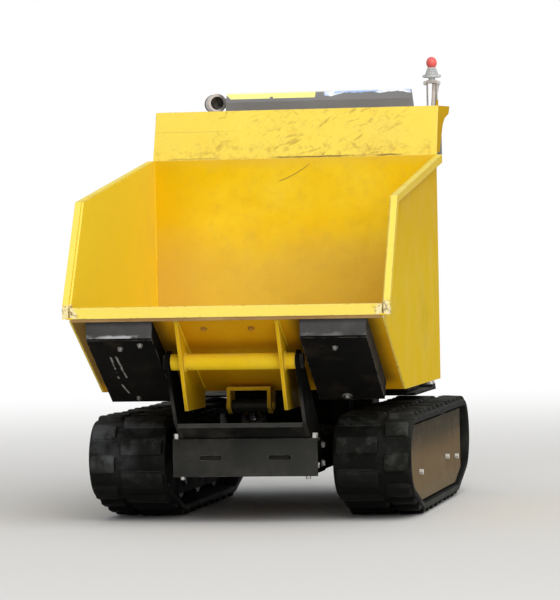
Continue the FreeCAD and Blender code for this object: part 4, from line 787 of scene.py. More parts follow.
class Belt:
    """The outer face of a track's carcass, measured along its length."""

    def __init__(self):
        axis_z = TRACK_HIGH.z - END_RADIUS
        corner = CORNER_RADIUS - LUG_RISE
        end = END_RADIUS - LUG_RISE
        circles = [(TRACK_LOW.y + GROUND_INSET, CORNER_RADIUS, corner),
                   (TRACK_HIGH.y - GROUND_INSET, CORNER_RADIUS, corner),
                   (TRACK_HIGH.y - END_RADIUS, axis_z, end), (TRACK_LOW.y + END_RADIUS, axis_z, end)]
        following = circles[1:] + circles[:1]
        normals = []
        for (y1, z1, r1), (y2, z2, r2) in zip(circles, following):
            along = Vector((y2 - y1, z2 - z1))
            share = (r1 - r2) / along.length
            along.normalize()
            outward = Vector((along.y, -along.x))
            normals.append(along * share + outward * math.sqrt(1 - share * share))
        self.spans = []
        for i, (y, z, radius) in enumerate(circles):
            before, after = normals[i - 1], normals[i]
            centre = Vector((y, z))
            self.spans.append((centre + before * radius, before, radius * before.angle(after), radius))
            y2, z2, r2 = following[i]
            run = Vector((y2, z2)) + after * r2 - centre - after * radius
            self.spans.append((centre + after * radius, after, run.length, 0))
        self.length = sum(span[2] for span in self.spans)

    def at(self, distance, height):
        """Y and Z of a place at a distance along the belt and a height over it."""
        distance %= self.length
        for start, normal, length, radius in self.spans:
            if distance <= length:
                break
            distance -= length
        if radius:
            angle = math.atan2(normal.y, normal.x) + distance / radius
            centre = start - normal * radius
            reach = radius + height
            return centre.x + reach * math.cos(angle), centre.y + reach * math.sin(angle)
        place = start + Vector((-normal.y, normal.x)) * distance + normal * height
        return place.x, place.y


def add_lug(bm, belt, x, half_x, distance, rise):
    """One worn tread lug: a pad with sloping sides and an uneven outline, bent along the belt."""
    waves = [(random.uniform(0.3, 1.0), random.uniform(0, 2 * math.pi)) for _ in range(3)]
    loops = []
    for inset, share in LUG_LEVELS:
        corner = max(0.0012, LUG_CORNER - inset * 0.5)
        loop = []
        for point in rounded_loop(half_x - inset - LUG_UNEVEN, LUG_LENGTH / 2 - inset, corner):
            angle = math.atan2(point.y, point.x)
            uneven = sum(size * math.sin((turns + 2) * angle + phase)
                         for turns, (size, phase) in enumerate(waves))
            spread = 1 + LUG_UNEVEN * uneven / 3 / point.length
            worn = 1 - LUG_WEAR * (0.5 + 0.5 * math.sin(angle + waves[0][1]))
            y, z = belt.at(distance + point.y * spread, share * rise * worn)
            loop.append(bm.verts.new((x + point.x * spread, y, z)))
        loops.append(loop)
    join_loops(bm, loops, 1)
    middle = bm.verts.new((x, *belt.at(distance, rise)))
    rim = loops[-1]
    for i in range(len(rim)):
        bm.faces.new((rim[i], rim[(i + 1) % len(rim)], middle)).material_index = 1


def make_tread(bm, side):
    """A track's carcass with two columns of lugs, the outer one half a pitch ahead."""
    belt = Belt()
    inner, outer = TRACK_LOW.x, TRACK_HIGH.x
    half_width = (outer - inner) / 2
    section = rounded_loop(half_width, CARCASS / 2, 0.004, 5, 3)
    rings = []
    for station in range(BELT_STATIONS):
        ring = []
        for point in section:
            y, z = belt.at(belt.length * station / BELT_STATIONS, point.y - CARCASS / 2)
            ring.append(bm.verts.new((side * (inner + half_width + point.x), y, z)))
        rings.append(ring)
    join_loops(bm, rings, 0, True)
    column_x = outer - (outer - inner) * OUTER_SHARE
    random.seed(40 + side)
    for low_x, high_x, phase in ((inner, column_x, 0.0), (column_x, outer, 0.5)):
        half_x = (high_x - low_x) / 2 - COLUMN_MARGIN
        for number in range(LUG_COUNT):
            distance = belt.length * (number + phase) / LUG_COUNT
            rise = LUG_RISE * random.uniform(0.92, 1.0)
            add_lug(bm, belt, side * (low_x + high_x) / 2, half_x, distance, rise)


# Skip trim

WELD_START = 0.016            # behind the lip
WELD_RADIUS = 0.0028


def make_lip_strip(bm):
    """A narrow flat bar welded under the lip bar."""
    end = INSIDE_X - 0.002
    add_box(bm, (-end, LIP_Y + 0.0012, LIP_UNDER - 0.0075),
            (end, LIP_Y + 0.0052, LIP_UNDER + 0.0004), 0.0012)


def make_slope_bolts(bm):
    reach = 0.0474
    for x in (-0.0570, 0.0504):
        place = (x, LIP_Y + reach, slope_under(reach) + 0.0005)
        add_bolt(bm, place, SLOPE_NORMAL, 0.011, 0.005, 0.0080)


def make_skip_welds(bm):
    """Beads in the skip's inner corners, and short ones at the ends of its lip."""
    slope_start = (LIP_Y + WELD_START, slope_under(WELD_START) + 0.005)
    slope_end = (LIP_Y + SLOPE_REACH - 0.002, FLOOR_TOP)
    lip = (LIP_Y + 0.0005, LIP_UNDER + 0.001)
    for side in (-1, 1):
        x = side * (INSIDE_X - 0.0005)
        add_bead(bm, (x, BACK_FACE, FLOOR_TOP + 0.01), (x, BACK_FACE, BACK_HIGH.z - 0.004), WELD_RADIUS)
        add_bead(bm, (x, LIP_Y + SLOPE_REACH, FLOOR_TOP), (x, BACK_FACE - 0.004, FLOOR_TOP), WELD_RADIUS)
        add_bead(bm, (x, *slope_start), (x, *slope_end), WELD_RADIUS)
        add_bead(bm, (side * (INSIDE_X + 0.0085), *lip), (side * (INSIDE_X - 0.006), *lip), 0.0022)
    end = INSIDE_X - 0.004
    add_bead(bm, (-end, BACK_FACE, FLOOR_TOP), (end, BACK_FACE, FLOOR_TOP), WELD_RADIUS)


def make_under_welds(bm):
    """Beads along the tops of the gussets and round the pivot tube where it passes them."""
    outer_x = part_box("gussets")[1].x
    low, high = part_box("pivot_tube")
    tube_y, tube_z = (low.y + high.y) / 2, (low.z + high.z) / 2
    radius = (high.z - low.z) / 2 + 0.0008
    weld_end = 0.30
    for side in (-1, 1):
        for x in (side * outer_x, side * (outer_x - 0.008)):
            add_bead(bm, (x, LIP_Y + WELD_START, slope_under(WELD_START) - 0.0005),
                     (x, LIP_Y + weld_end, slope_under(weld_end) - 0.0005), 0.0024)
            angles = [2 * math.pi * i / 40 for i in range(40)]
            ring = [(x, tube_y + radius * math.cos(a), tube_z + radius * math.sin(a)) for a in angles]
            for start, end in zip(ring, ring[1:] + ring[:1]):
                add_bead(bm, start, end, 0.0026)


def add_skin(bm, rings):
    """A closed shape through rings of points, with flat ends."""
    loops = [[bm.verts.new(point) for point in ring] for ring in rings]
    join_loops(bm, loops)
    bm.faces.new(loops[0])
    bm.faces.new(loops[-1])


def make_head_tab(bm):
    """The small folded ear over the headboard's left corner."""
    x, z = HEAD_HIGH.x, HEAD_HIGH.z
    y = HEAD_LOW.y + 0.048
    outline = ((x - 0.006, z - 0.001), (x, z - 0.001), (x, z + 0.015), (x - 0.0045, z + 0.012))
    add_skin(bm, [[(px, py, pz) for px, pz in outline] for py in (y, y + 0.004, y + 0.0045)])


def make_head_flare(bm):
    """The flange at the headboard's left end, flaring outwards to an ear at its top."""
    lean = 0.048
    rise = HEAD_HIGH.z - BACK_HIGH.z
    # height over the back sheet, how far out of the side and how far behind the board the edge stands
    edge = ((0.006, 0.0050, 0.022), (0.040, 0.0065, 0.030), (0.075, 0.0085, 0.034), (0.092, 0.0120, 0.042),
            (0.103, 0.0182, 0.064), (rise, 0.0188, 0.072))
    thick = Vector((-0.0028, 0.0010, 0))
    rings = []
    for height, out, behind in edge:
        board_y = HEAD_LOW.y + lean * height / rise
        near = Vector((HEAD_HIGH.x - 0.0015, board_y + 0.001, BACK_HIGH.z + height))
        far = Vector((HEAD_HIGH.x + out, board_y + behind, BACK_HIGH.z + height))
        rings.append((near, far, far + thick, near + thick))
    add_skin(bm, rings)


# Boxes, apron and bumper

APRON_TOP = 0.233
APRON_FRONT = -0.624


def make_box_bars(bm):
    """Flat bars across the front of the boxes."""
    for side in (-1, 1):
        add_box(bm, (side * (BOX_LOW.x + 0.001), BOX_LOW.y - 0.0035, BAR_TOP - BAR_DROP),
                (side * (BOX_HIGH.x - 0.001), BOX_LOW.y + 0.0005, BAR_TOP), 0.0012)


def make_box_bolts(bm):
    """Bolts in the sloping faces of the boxes."""
    face_normal = Vector((0, -BOX_FALL, -1)).normalized()
    # x, reach behind the box's front, radius of the washer
    for x, reach, washer in ((-0.2463, 0.031, 0.0068), (-0.1982, 0.018, 0.0068), (-0.2503, 0.233, 0.0068),
                             (0.2393, 0.037, 0.0068), (0.233, 0.236, 0.0125)):
        place = (x, BOX_LOW.y + reach, BOX_FRONT_Z - reach * BOX_FALL)
        add_bolt(bm, place, face_normal, 0.0095, 0.0055, washer)


def make_apron_bar(bm):
    end = UPRIGHT_LOW.x
    add_box(bm, (-end, APRON_FRONT - 0.0045, APRON_TOP - 0.0095),
            (end, APRON_FRONT + 0.0005, APRON_TOP + 0.0005), 0.0012)


def make_bumper_bolts(bm):
    """A tall nut on each tab, and a bolt under the plate."""
    tab_x = (UPRIGHT_HIGH.x + BUMPER_HIGH.x) / 2
    for side in (-1, 1):
        tab = (side * tab_x, BUMPER_LOW.y + 0.014, BUMPER_HIGH.z - 0.0102)
        add_bolt(bm, tab, Z_AXIS, 0.0135, 0.0125)
        add_bolt(bm, (side * 0.1455, BUMPER_LOW.y + 0.0045, BUMPER_LOW.z), DOWN, 0.010, 0.0055, 0.006)


def make_slot_shade_sheet(bm):
    """A black sheet behind the bumper's slots, as painted shade in them."""
    middle = (BUMPER_LOW.z + BUMPER_HIGH.z) / 2 - 0.006
    for side in (-1, 1):
        add_box(bm, (side * 0.046, BUMPER_LOW.y + 0.0045, middle - 0.012),
                (side * 0.102, BUMPER_LOW.y + 0.0075, middle + 0.010), 0.001)


# Tipping valve

VALVE_LOW, VALVE_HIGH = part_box("tipping_valve")
VALVE_X = (VALVE_LOW.x + VALVE_HIGH.x) / 2
VALVE_BODY = 0.090
KNOB_RADIUS = 0.0155


def make_valve(bm):
    """The valve body with its cap, ports and screws."""
    x, y, z = VALVE_X, VALVE_LOW.y, VALVE_LOW.z
    top = z + VALVE_BODY
    add_box(bm, (x - 0.019, y + 0.003, z + 0.002), (x + 0.019, y + 0.067, top - 0.012), 0.004, 3)
    add_box(bm, (x - 0.016, y + 0.012, top - 0.014), (x + 0.016, y + 0.058, top), 0.003)
    port = [(0, -0.003), (0.011, -0.003), (0.011, 0.001), (0.0085, 0.0015), (0.0085, 0.006), (0, 0.006)]
    for rise in (0.022, 0.055):
        add_lathe(bm, port, turned_to((x, y + 0.064, z + rise), Y_AXIS), 6)
    for rise in (0.012, 0.066):
        add_bolt(bm, (x, y + 0.003, z + rise), TO_FRONT, *SMALL_BOLT, 1)


def bellows(start_reach, reach_step, start_level, level_step, fold, heights):
    """Profile points of four shrinking folds; fold is how deep each goes, heights where its points lie."""
    points = []
    for number in range(4):
        reach = start_reach - number * reach_step
        level = start_level + number * level_step
        for inward, height in zip(fold, heights):
            points.append((reach - inward, level + height))
    return points


def make_valve_lever(bm):
    """A cast lever between two side plates, under a flange with ears, a ribbed gaiter and a round knob."""
    x = VALVE_X
    y = VALVE_LOW.y + 0.034
    foot = VALVE_LOW.z + VALVE_BODY - 0.001
    top = VALVE_HIGH.z
    # near and far x from the middle, half depth, low and high z, rounding, its steps, material
    for near, far, half, low, high, rounding, steps, index in (
            (0.0105, 0.0135, 0.008, foot, top - 0.067, 0.001, 2, 1),
            (0.0125, 0.0215, 0.005, top - 0.0725, top - 0.0620, 0.0022, 3, 2),
            (0.0150, 0.0238, 0.006, top - 0.0535, top - 0.0455, 0.0026, 3, 2)):
        for side in (-1, 1):
            add_box(bm, (x + side * near, y - half, low), (x + side * far, y + half, high), rounding,
                    steps, index)
    stem = [(0, 0), (0.0052, 0), (0.0056, 0.030), (0.0068, 0.060), (0.0090, 0.088), (0.0105, 0.104),
            (0, 0.106)]
    lean = turned_to((x - 0.002, y - 0.004, top - 0.165), (0.012, 0.010, 0.10))
    add_lathe(bm, stem, lean, 24)
    add_box(bm, (x - 0.0135, y - 0.0075, top - 0.0685), (x + 0.0135, y + 0.0075, top - 0.0600), 0.002)
    gaiter = [(0, 0), (0.0095, 0), (0.0085, 0.004), (0.0085, 0.009), (0.0195, 0.0105), (0.0208, 0.0125),
              (0.0200, 0.0150)]
    gaiter += bellows(0.0182, 0.0018, 0.0160, 0.0050, (0.0022, 0, 0.0004, 0.0026),
                      (0, 0.0016, 0.0032, 0.0048))
    gaiter += [(0.0085, 0.0370), (0, 0.0370)]
    add_lathe(bm, gaiter, Matrix.Translation((x, y, top - 0.064)), 36, 2)
    angles = [math.pi * (step / 18 - 0.5) for step in range(1, 18)]
    ball = [(KNOB_RADIUS * 0.9 * math.cos(angle), KNOB_RADIUS * math.sin(angle)) for angle in angles]
    ball = [(0, -KNOB_RADIUS)] + ball + [(0, KNOB_RADIUS)]
    add_lathe(bm, ball, Matrix.Translation((x, y, top - KNOB_RADIUS)), 40, 3)


# Engine, tanks, deck and frame

ENGINE_LOW, ENGINE_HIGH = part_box("engine_block")
FAN_LOW, FAN_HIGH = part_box("recoil_starter")
FUEL_LOW, FUEL_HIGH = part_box("fuel_tank")
MUFFLER_LOW, MUFFLER_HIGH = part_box("muffler")
FILTER_LOW, FILTER_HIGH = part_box("air_filter")
GUARD_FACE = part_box("belt_guard")[1].x - 0.0003
OIL_LOW, OIL_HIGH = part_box("oil_tank")
DECK_LOW, DECK_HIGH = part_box("deck")
GEARBOX_LOW, GEARBOX_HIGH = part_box("gearbox")
ENGINE_X = -0.010
CRANK_Y, CRANK_Z = (FAN_LOW.y + FAN_HIGH.y) / 2, (FAN_LOW.z + FAN_HIGH.z) / 2
DECK_TOP = ENGINE_LOW.z
HEAD_Z = DECK_TOP + 0.0855    # middle of the cylinder head
TAIL_FACE = TRACK_HIGH.y - 0.016


def make_fan_details(bm):
    """Vanes between the fan housing's rings, its screws, and the starter's handle."""
    face = FAN_LOW.x + 0.016
    outward = (-1, 0, 0)
    place = turned_to((face, CRANK_Y, CRANK_Z), outward)
    for radius in (0.052, 0.060, 0.068, 0.076):
        near, far = radius - 0.0012, radius + 0.0012
        add_lathe(bm, [(near, -0.002), (near, 0.0016), (far, 0.0016), (far, -0.002)], place, 56)
    cup = [(0, -0.001), (0.040, -0.001), (0.038, 0.0012), (0.030, 0.0018), (0.028, 0.0006), (0, 0.0006)]
    add_lathe(bm, cup, turned_to((FAN_LOW.x, CRANK_Y, CRANK_Z), outward), 48)
    for number in range(3):
        angle = 2 * math.pi * number / 3 + 0.5
        spot = (face + 0.001, CRANK_Y + 0.0805 * math.cos(angle), CRANK_Z + 0.0805 * math.sin(angle))
        add_bolt(bm, spot, outward, *SCREW, 1)
    grip_z = CRANK_Z + 0.074
    add_box(bm, (face - 0.024, CRANK_Y - 0.030, grip_z - 0.006),
            (face - 0.004, CRANK_Y + 0.018, grip_z + 0.008), 0.0055, 3)
    neck = [(0, 0), (0.009, 0), (0.007, 0.010), (0, 0.010)]
    add_lathe(bm, neck, turned_to((face + 0.002, CRANK_Y - 0.006, grip_z), outward), 20)


def add_ribbed_cap(bm, place, radius, height, ribs):
    """A screw cap with ribs round its rim and a dished top."""
    def wobble(angle, level):
        return 1.0 + (0.022 * math.cos(angle * ribs) if 0.12 * height < level < 0.86 * height else 0.0)

    shares = ((1, 0.1), (1.01, 0.14), (1.01, 0.84), (0.97, 0.92), (0.88, 1), (0.55, 0.97), (0.5, 0.88),
              (0, 0.86))
    profile = [(0, -0.001), (radius, -0.001)] + [(radius * out, height * up) for out, up in shares]
    add_lathe(bm, profile, Matrix.Translation(place), 96, 0, wobble)


def make_caps(bm):
    add_ribbed_cap(bm, (ENGINE_X + 0.040, CRANK_Y, FUEL_HIGH.z - 0.020), 0.0315, 0.0215, 24)
    oil_x = (OIL_LOW.x + OIL_HIGH.x) / 2
    add_ribbed_cap(bm, (oil_x, OIL_LOW.y + 0.050, OIL_HIGH.z - 0.018), 0.0235, 0.0195, 18)


def make_engine_bolts(bm):
    """Screws of the rocker cover, exhaust guard, belt guard and fuel tank."""
    for x in (-0.034, 0.034):
        for z in (-0.021, 0.021):
            add_bolt(bm, (ENGINE_X + x, ENGINE_HIGH.y - 0.010, HEAD_Z + z), Y_AXIS, 0.008, 0.0045, 0.0055)
    for z in (0.022, 0.090):
        for x in (0.013, 0.095):
            add_bolt(bm, (MUFFLER_LOW.x + x, MUFFLER_HIGH.y - 0.0006, MUFFLER_LOW.z + z), Y_AXIS, *SCREW)
    for angle in (0.5, 1.57, 2.64):
        y, z = CRANK_Y + 0.058 * math.cos(angle), CRANK_Z + 0.058 * math.sin(angle)
        add_bolt(bm, (GUARD_FACE, y, z), X_AXIS, *SMALL_BOLT)
    for y in (-0.052, 0.052):
        add_bolt(bm, (GUARD_FACE, CRANK_Y + y, DECK_TOP + 0.014), X_AXIS, *SMALL_BOLT)
    tank_y = (FUEL_LOW.y + FUEL_HIGH.y) / 2
    for x in (-0.122, 0.122):
        for y in (-0.086, 0.086):
            add_bolt(bm, (ENGINE_X + x, tank_y + y, FUEL_HIGH.z - 0.0645), Z_AXIS, *SCREW)


def make_plug_boot(bm):
    """The boot over the spark plug."""
    boot = [(0, -0.034), (0.0098, -0.034), (0.0098, -0.020), (0.0085, -0.018), (0.0085, -0.004),
            (0.0070, 0), (0, 0)]
    add_lathe(bm, boot, turned_to((ENGINE_X + 0.040, ENGINE_HIGH.y, HEAD_Z), Y_AXIS), 28)


def make_carburettor(bm):
    """The carburettor's body under the air cleaner, with its bowl and drain."""
    x = ENGINE_X - 0.0295
    y = (FILTER_LOW.y + FILTER_HIGH.y) / 2
    z = FILTER_LOW.z
    add_box(bm, (x - 0.020, y - 0.020, z - 0.010), (x + 0.020, y + 0.022, z + 0.006), 0.003)
    under = (x, y + 0.016, z - 0.022)
    bowl = [(0, 0), (0.016, 0), (0.018, 0.003), (0.018, 0.012), (0.013, 0.014), (0, 0.014)]
    add_lathe(bm, bowl, Matrix.Translation(under), 32)
    add_bolt(bm, under, DOWN, 0.009, 0.004)


def make_oil_details(bm):
    """A level glass in its frame, and a drain plug."""
    face = OIL_HIGH.x
    y = OIL_HIGH.y - 0.045
    low = OIL_LOW.z + 0.045
    add_box(bm, (face - 0.001, y - 0.011, low), (face + 0.0045, y + 0.011, low + 0.090), 0.002)
    add_box(bm, (face + 0.003, y - 0.0045, low + 0.012),
            (face + 0.0058, y + 0.0045, low + 0.078), 0.0015, 2, 1)
    for rise in (0.006, 0.084):
        add_bolt(bm, (face + 0.004, y, low + rise), X_AXIS, 0.008, 0.003, index=2)
    add_bolt(bm, (face - 0.0005, OIL_LOW.y + 0.03, OIL_LOW.z + 0.022), X_AXIS, *SCREW_PLUG, 2)


def make_deck_bolts(bm):
    """Bolts of the handlebar feet, the engine feet and the deck's edges."""
    for side in ("left", "right"):
        low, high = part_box("handlebar_" + side)
        x, y = (low.x + high.x) / 2, low.y + 0.030
        for dx in (-0.0225, 0.0225):
            for dy in (-0.0225, 0.0225):
                add_bolt(bm, (x + dx, y + dy, DECK_TOP + 0.0078), Z_AXIS, 0.012, 0.006, 0.0088)
    for x in (-0.115, 0.115):
        for y in (-0.070, 0.070):
            add_bolt(bm, (ENGINE_X + x, CRANK_Y + y, DECK_TOP), Z_AXIS, 0.013, 0.007, 0.011)
    for x in (-0.155, -0.075, 0.075, 0.155):
        add_bolt(bm, (x, DECK_LOW.y, DECK_HIGH.z - 0.022), TO_FRONT, 0.010, 0.005, 0.008)


def make_gearbox_bolts(bm):
    """Two rows of screws on the gearbox's rear face, a filler plug above and a drain plug below."""
    middle = (GEARBOX_LOW.z + GEARBOX_HIGH.z) / 2
    face = GEARBOX_HIGH.y - 0.0003
    for x in (-0.072, -0.024, 0.024, 0.072):
        for z in (-0.034, 0.034):
            add_bolt(bm, (x, face, middle + z), Y_AXIS, 0.010, 0.005, 0.007)
    add_bolt(bm, (0.045, face - 0.040, GEARBOX_HIGH.z - 0.0003), Z_AXIS, *SCREW_PLUG)
    add_bolt(bm, (-0.030, face - 0.060, GEARBOX_LOW.z + 0.0003), DOWN, *SCREW_PLUG)


def make_frame_bolts(bm):
    """Bolts through the tail plate and the feet of the uprights."""
    for side in (-1, 1):
        for z in (0.128, 0.172):
            add_bolt(bm, (side * 0.124, TAIL_FACE, z), Y_AXIS, *LARGE_BOLT)
        for y, z in ((-0.545, 0.150), (-0.500, 0.130), (-0.420, 0.130), (-0.420, 0.172)):
            add_bolt(bm, (side * UPRIGHT_HIGH.x, y, z), (side, 0, 0), *LARGE_BOLT)


# Console, levers, grips and tube

GRIPS_LOW, GRIPS_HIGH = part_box("grips")
GRIP_RADIUS = 0.020
GRIP_RINGS = 11
TUBE_TURN = math.radians(20)
TUBE_LENGTH = 0.070


def make_grips(bm):
    """Moulded grips with rings, a flange in front and a domed end."""
    length = GRIPS_HIGH.y - GRIPS_LOW.y
    pitch = (length - 0.034) / GRIP_RINGS
    profile = [(0.0163, 0), (0.0196, 0.0005), (0.0199, 0.003), (0.0196, 0.006), (0.0178, 0.009)]
    for number in range(GRIP_RINGS):
        for radius, share in ((0.0178, 0), (0.0194, 0.18), (0.0196, 0.45), (0.0194, 0.72), (0.0178, 0.9)):
            profile.append((radius, 0.014 + pitch * (number + share)))
    profile += [(0.0180, length - 0.016), (0.0197, length - 0.013), (0.0198, length - 0.006),
                (0.0180, length - 0.0015), (0.012, length), (0, length)]
    for side in (-1, 1):
        start = (side * (GRIPS_HIGH.x - GRIP_RADIUS), GRIPS_LOW.y, (GRIPS_LOW.z + GRIPS_HIGH.z) / 2)
        add_lathe(bm, profile, turned_to(start, Y_AXIS), 40)


def make_lever_boots(bm):
    """Ribbed boots where the levers leave the console."""
    profile = [(0, -0.002), (0.0175, -0.002), (0.0180, 0.0015)]
    profile += bellows(0.0165, 0.0022, 0.0025, 0.0042, (0.0028, 0, 0, 0.0028), (0, 0.0014, 0.0026, 0.0040))
    profile += [(0.0066, 0.0205), (0, 0.0205)]
    for side in (-1, 0, 1):
        foot = Vector((side * 0.120, CONSOLE_HIGH.y - 0.024, CONSOLE_HIGH.z - 0.066))
        run = Vector((side * 0.020, 0.119, 0.030))
        add_lathe(bm, profile, turned_to(foot + run * (0.022 / run.y), run), 36)


def make_console_details(bm):
    """Screws, a turn switch and a throttle slide on the back of the console."""
    rear = CONSOLE_HIGH.y
    for x in (-0.228, 0.228):
        for z in (0.845, 0.972):
            add_bolt(bm, (x, rear - 0.0003, z), Y_AXIS, 0.009, 0.004, 0.0065)
    switch = [(0, -0.002), (0.0155, -0.002), (0.0155, 0.003), (0.0135, 0.004), (0.0120, 0.016),
              (0.0105, 0.018), (0, 0.018)]
    add_lathe(bm, switch, turned_to((0.062, rear, 0.905), Y_AXIS), 36, 1)
    add_box(bm, (0.060, rear + 0.014, 0.893), (0.064, rear + 0.021, 0.917), 0.001, 2, 1)
    add_box(bm, (-0.076, rear - 0.001, 0.872), (-0.046, rear + 0.003, 0.942), 0.003, 2, 1)
    add_box(bm, (-0.066, rear + 0.002, 0.902), (-0.056, rear + 0.017, 0.912), 0.002, 2, 2)


def make_tube_rim(bm):
    """The rolled rim at the mouth of the document tube, and the strap round it."""
    radius = (TUBE_HIGH.z - TUBE_LOW.z) / 2
    x = TUBE_HIGH.x - 0.0003 - radius * math.cos(TUBE_TURN)
    axis = (-math.sin(TUBE_TURN), math.cos(TUBE_TURN), 0)
    mouth = turned_to((x, CONSOLE_LOW.y, (TUBE_LOW.z + TUBE_HIGH.z) / 2), axis)
    rim = ((-0.0052, 0.006), (-0.0055, 0.001), (-0.0030, 0.0), (0.0008, 0.0004), (0.0015, 0.003),
           (0.0008, 0.0065), (-0.0052, 0.006))
    add_lathe(bm, [(radius + out, along) for out, along in rim], mouth, 56)
    strap_at = TUBE_LENGTH - 0.014
    strap = ((-0.001, -0.004), (0.0012, -0.004), (0.0012, 0.004), (-0.001, 0.004))
    add_lathe(bm, [(radius + out, strap_at + along) for out, along in strap], mouth, 56, 1)


# name, mesh maker, looks, body, nodes it stands for
PIECES = (
    ("tread_left", partial(make_tread, side=1), "rubber_valley rubber_lugs", "chassis", "track_left"),
    ("tread_right", partial(make_tread, side=-1), "rubber_valley rubber_lugs", "chassis", "track_right"),
    ("lip_strip", make_lip_strip, "strip_shade_and_rust", "skip", ""),
    ("slope_bolts", make_slope_bolts, "bolt_ochre", "skip", ""),
    ("skip_welds", make_skip_welds, "yellow_weld", "skip", ""),
    ("under_welds", make_under_welds, "yellow_weld", "skip", ""),
    ("headboard_tab", make_head_tab, "flare_painted_shade", "skip", ""),
    ("box_bars", make_box_bars, "bar_grey", "skip", ""),
    ("box_bolts", make_box_bolts, "dull_steel", "skip", ""),
    ("apron_bar", make_apron_bar, "apron_grey", "chassis", ""),
    ("bumper_bolts", make_bumper_bolts, "bright_steel", "chassis", ""),
    ("slot_shade_sheet", make_slot_shade_sheet, "black_paint", "chassis", ""),
    ("valve_body", make_valve, "cast_iron bright_steel", "chassis", "tipping_valve"),
    ("valve_lever", make_valve_lever, "tube_grey black_plastic gaiter_grey knob_red", "chassis", ""),
    ("headboard_flare", make_head_flare, "flare_painted_shade", "skip", ""),
    ("fan_details", make_fan_details, "black_plastic bright_steel", "chassis", ""),
    ("screw_caps", make_caps, "black_plastic", "chassis", ""),
    ("engine_bolts", make_engine_bolts, "bright_steel", "chassis", ""),
    ("plug_boot", make_plug_boot, "grip_rubber", "chassis", ""),
    ("carburettor", make_carburettor, "engine_alloy", "chassis", ""),
    ("oil_details", make_oil_details, "black_plastic level_glass bright_steel", "chassis", ""),
    ("deck_bolts", make_deck_bolts, "bright_steel", "chassis", ""),
    ("gearbox_bolts", make_gearbox_bolts, "bright_steel", "chassis", ""),
    ("frame_bolts", make_frame_bolts, "bright_steel", "chassis", ""),
    ("moulded_grips", make_grips, "grip_rubber", "chassis", "grips"),
    ("lever_boots", make_lever_boots, "grip_rubber", "chassis", ""),
    ("console_details", make_console_details, "bright_steel black_plastic knob_red", "chassis", ""),
    ("tube_rim", make_tube_rim, "tube_grey black_plastic", "chassis", ""),
)
for name, maker, worn_looks, body, replaced in PIECES:
    piece(name, maker, [looks[worn] for worn in worn_looks.split()], body, replaced.split())


# Stage, light and camera

# The photograph's viewpoint, found by fitting the machine's known sizes to it
CAMERA_PLACE = (1.4853, -8.3302, 0.6238)
CAMERA_YAW = 0.1782
CAMERA_PITCH = -0.0145
CAMERA_ROLL = -0.0192
LENS_MM = 208.56
SENSOR_MM = 36.0


def make_stage():
    """A pale floor that fades to white far from the machine."""
    bpy.ops.mesh.primitive_plane_add(size=120, location=(0, 0, -0.0005))
    floor = bpy.context.object
    floor.name = "studio_floor"
    material = bpy.data.materials.new("studio_floor")
    material.use_nodes = True
    tree = material.node_tree
    shader = tree.nodes["Principled BSDF"]
    plug(tree, shader.inputs["Base Color"], (0.74, 0.73, 0.71))
    plug(tree, shader.inputs["Roughness"], 0.9)
    place = add_node(tree, "TexCoord").outputs["Object"]
    distance = add_node(tree, "VectorMath", {0: place}, operation="LENGTH").outputs["Value"]
    limits = {"Value": distance, "From Min": 1.6, "From Max": 7.0}
    fade = add_node(tree, "MapRange", limits, interpolation_type="SMOOTHSTEP").outputs[0]
    seen = add_node(tree, "LightPath").outputs["Is Camera Ray"]
    amount = add_node(tree, "Math", {0: fade, 1: seen}, operation="MULTIPLY").outputs[0]
    glow = add_node(tree, "Emission").outputs[0]
    blend = add_node(tree, "MixShader", {0: amount, 1: shader.outputs[0], 2: glow}).outputs[0]
    plug(tree, tree.nodes["Material Output"].inputs[0], blend)
    floor.data.materials.append(material)


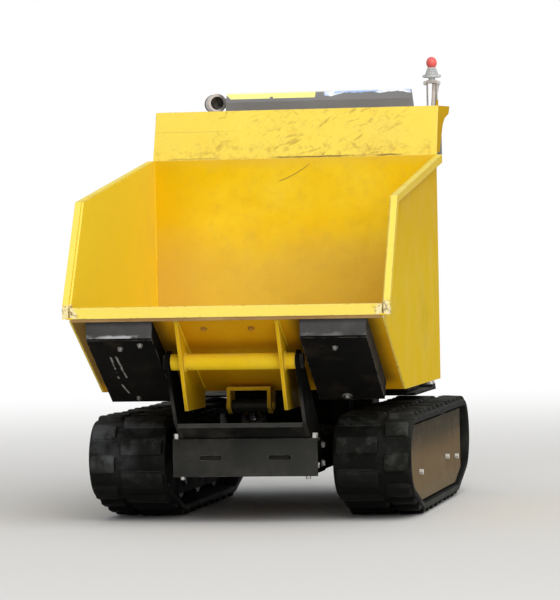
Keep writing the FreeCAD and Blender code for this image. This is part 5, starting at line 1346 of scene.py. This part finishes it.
def make_world():
    """Even pale light, and plain white where the camera or a reflection sees past the floor."""
    world = bpy.data.worlds.new("studio")
    bpy.context.scene.world = world
    world.use_nodes = True
    tree = world.node_tree
    light = tree.nodes["Background"]
    plug(tree, light.inputs["Color"], (0.93, 0.96, 1.0))
    plug(tree, light.inputs["Strength"], 0.42)
    white = add_node(tree, "Background", {"Color": (1, 1, 1)}).outputs[0]
    rays = add_node(tree, "LightPath").outputs
    seen = rays["Is Camera Ray"]
    for ray in ("Is Glossy Ray", "Is Transmission Ray"):
        seen = add_node(tree, "Math", {0: seen, 1: rays[ray]}, operation="MAXIMUM").outputs[0]
    blend = add_node(tree, "MixShader", {0: seen, 1: light.outputs[0], 2: white}).outputs[0]
    plug(tree, tree.nodes["World Output"].inputs[0], blend)


def add_lamp(name, kind, place, target, energy, size, colour=(1, 1, 1)):
    data = bpy.data.lights.new(name, kind)
    data.energy = energy
    data.color = colour
    if kind == "AREA":
        data.shape = "DISK"
        data.size = size
    else:
        data.angle = size
    lamp = bpy.data.objects.new(name, data)
    lamp.location = place
    lamp.rotation_euler = (Vector(target) - Vector(place)).to_track_quat("-Z", "Y").to_euler()
    bpy.context.scene.collection.objects.link(lamp)


def make_camera():
    """A camera at the photograph's viewpoint, turned, tilted and rolled as it was."""
    up = Vector(Z_AXIS)
    right = Vector((math.cos(CAMERA_YAW), math.sin(CAMERA_YAW), 0))
    ahead = Vector((-math.sin(CAMERA_YAW), math.cos(CAMERA_YAW), 0))
    view = ahead * math.cos(CAMERA_PITCH) + up * math.sin(CAMERA_PITCH)
    over = up * math.cos(CAMERA_PITCH) - ahead * math.sin(CAMERA_PITCH)
    side = right * math.cos(CAMERA_ROLL) + over * math.sin(CAMERA_ROLL)
    top = over * math.cos(CAMERA_ROLL) - right * math.sin(CAMERA_ROLL)
    data = bpy.data.cameras.new("camera")
    data.sensor_width = SENSOR_MM
    data.lens = LENS_MM
    camera = bpy.data.objects.new("camera", data)
    camera.matrix_world = Matrix.Translation(CAMERA_PLACE) @ Matrix((side, top, -view)).transposed().to_4x4()
    bpy.context.scene.collection.objects.link(camera)
    bpy.context.scene.camera = camera


make_stage()
make_world()
add_lamp("sky", "SUN", (2.0, -3.4, 4.0), (0, 0, 0.3), 2.2, math.radians(60), (1.0, 0.985, 0.96))
add_lamp("front", "AREA", (2.2, -5.0, 1.8), (0, 0, 0.6), 26, 2.5)
make_camera()
bpy.context.scene.view_settings.view_transform = "Standard"
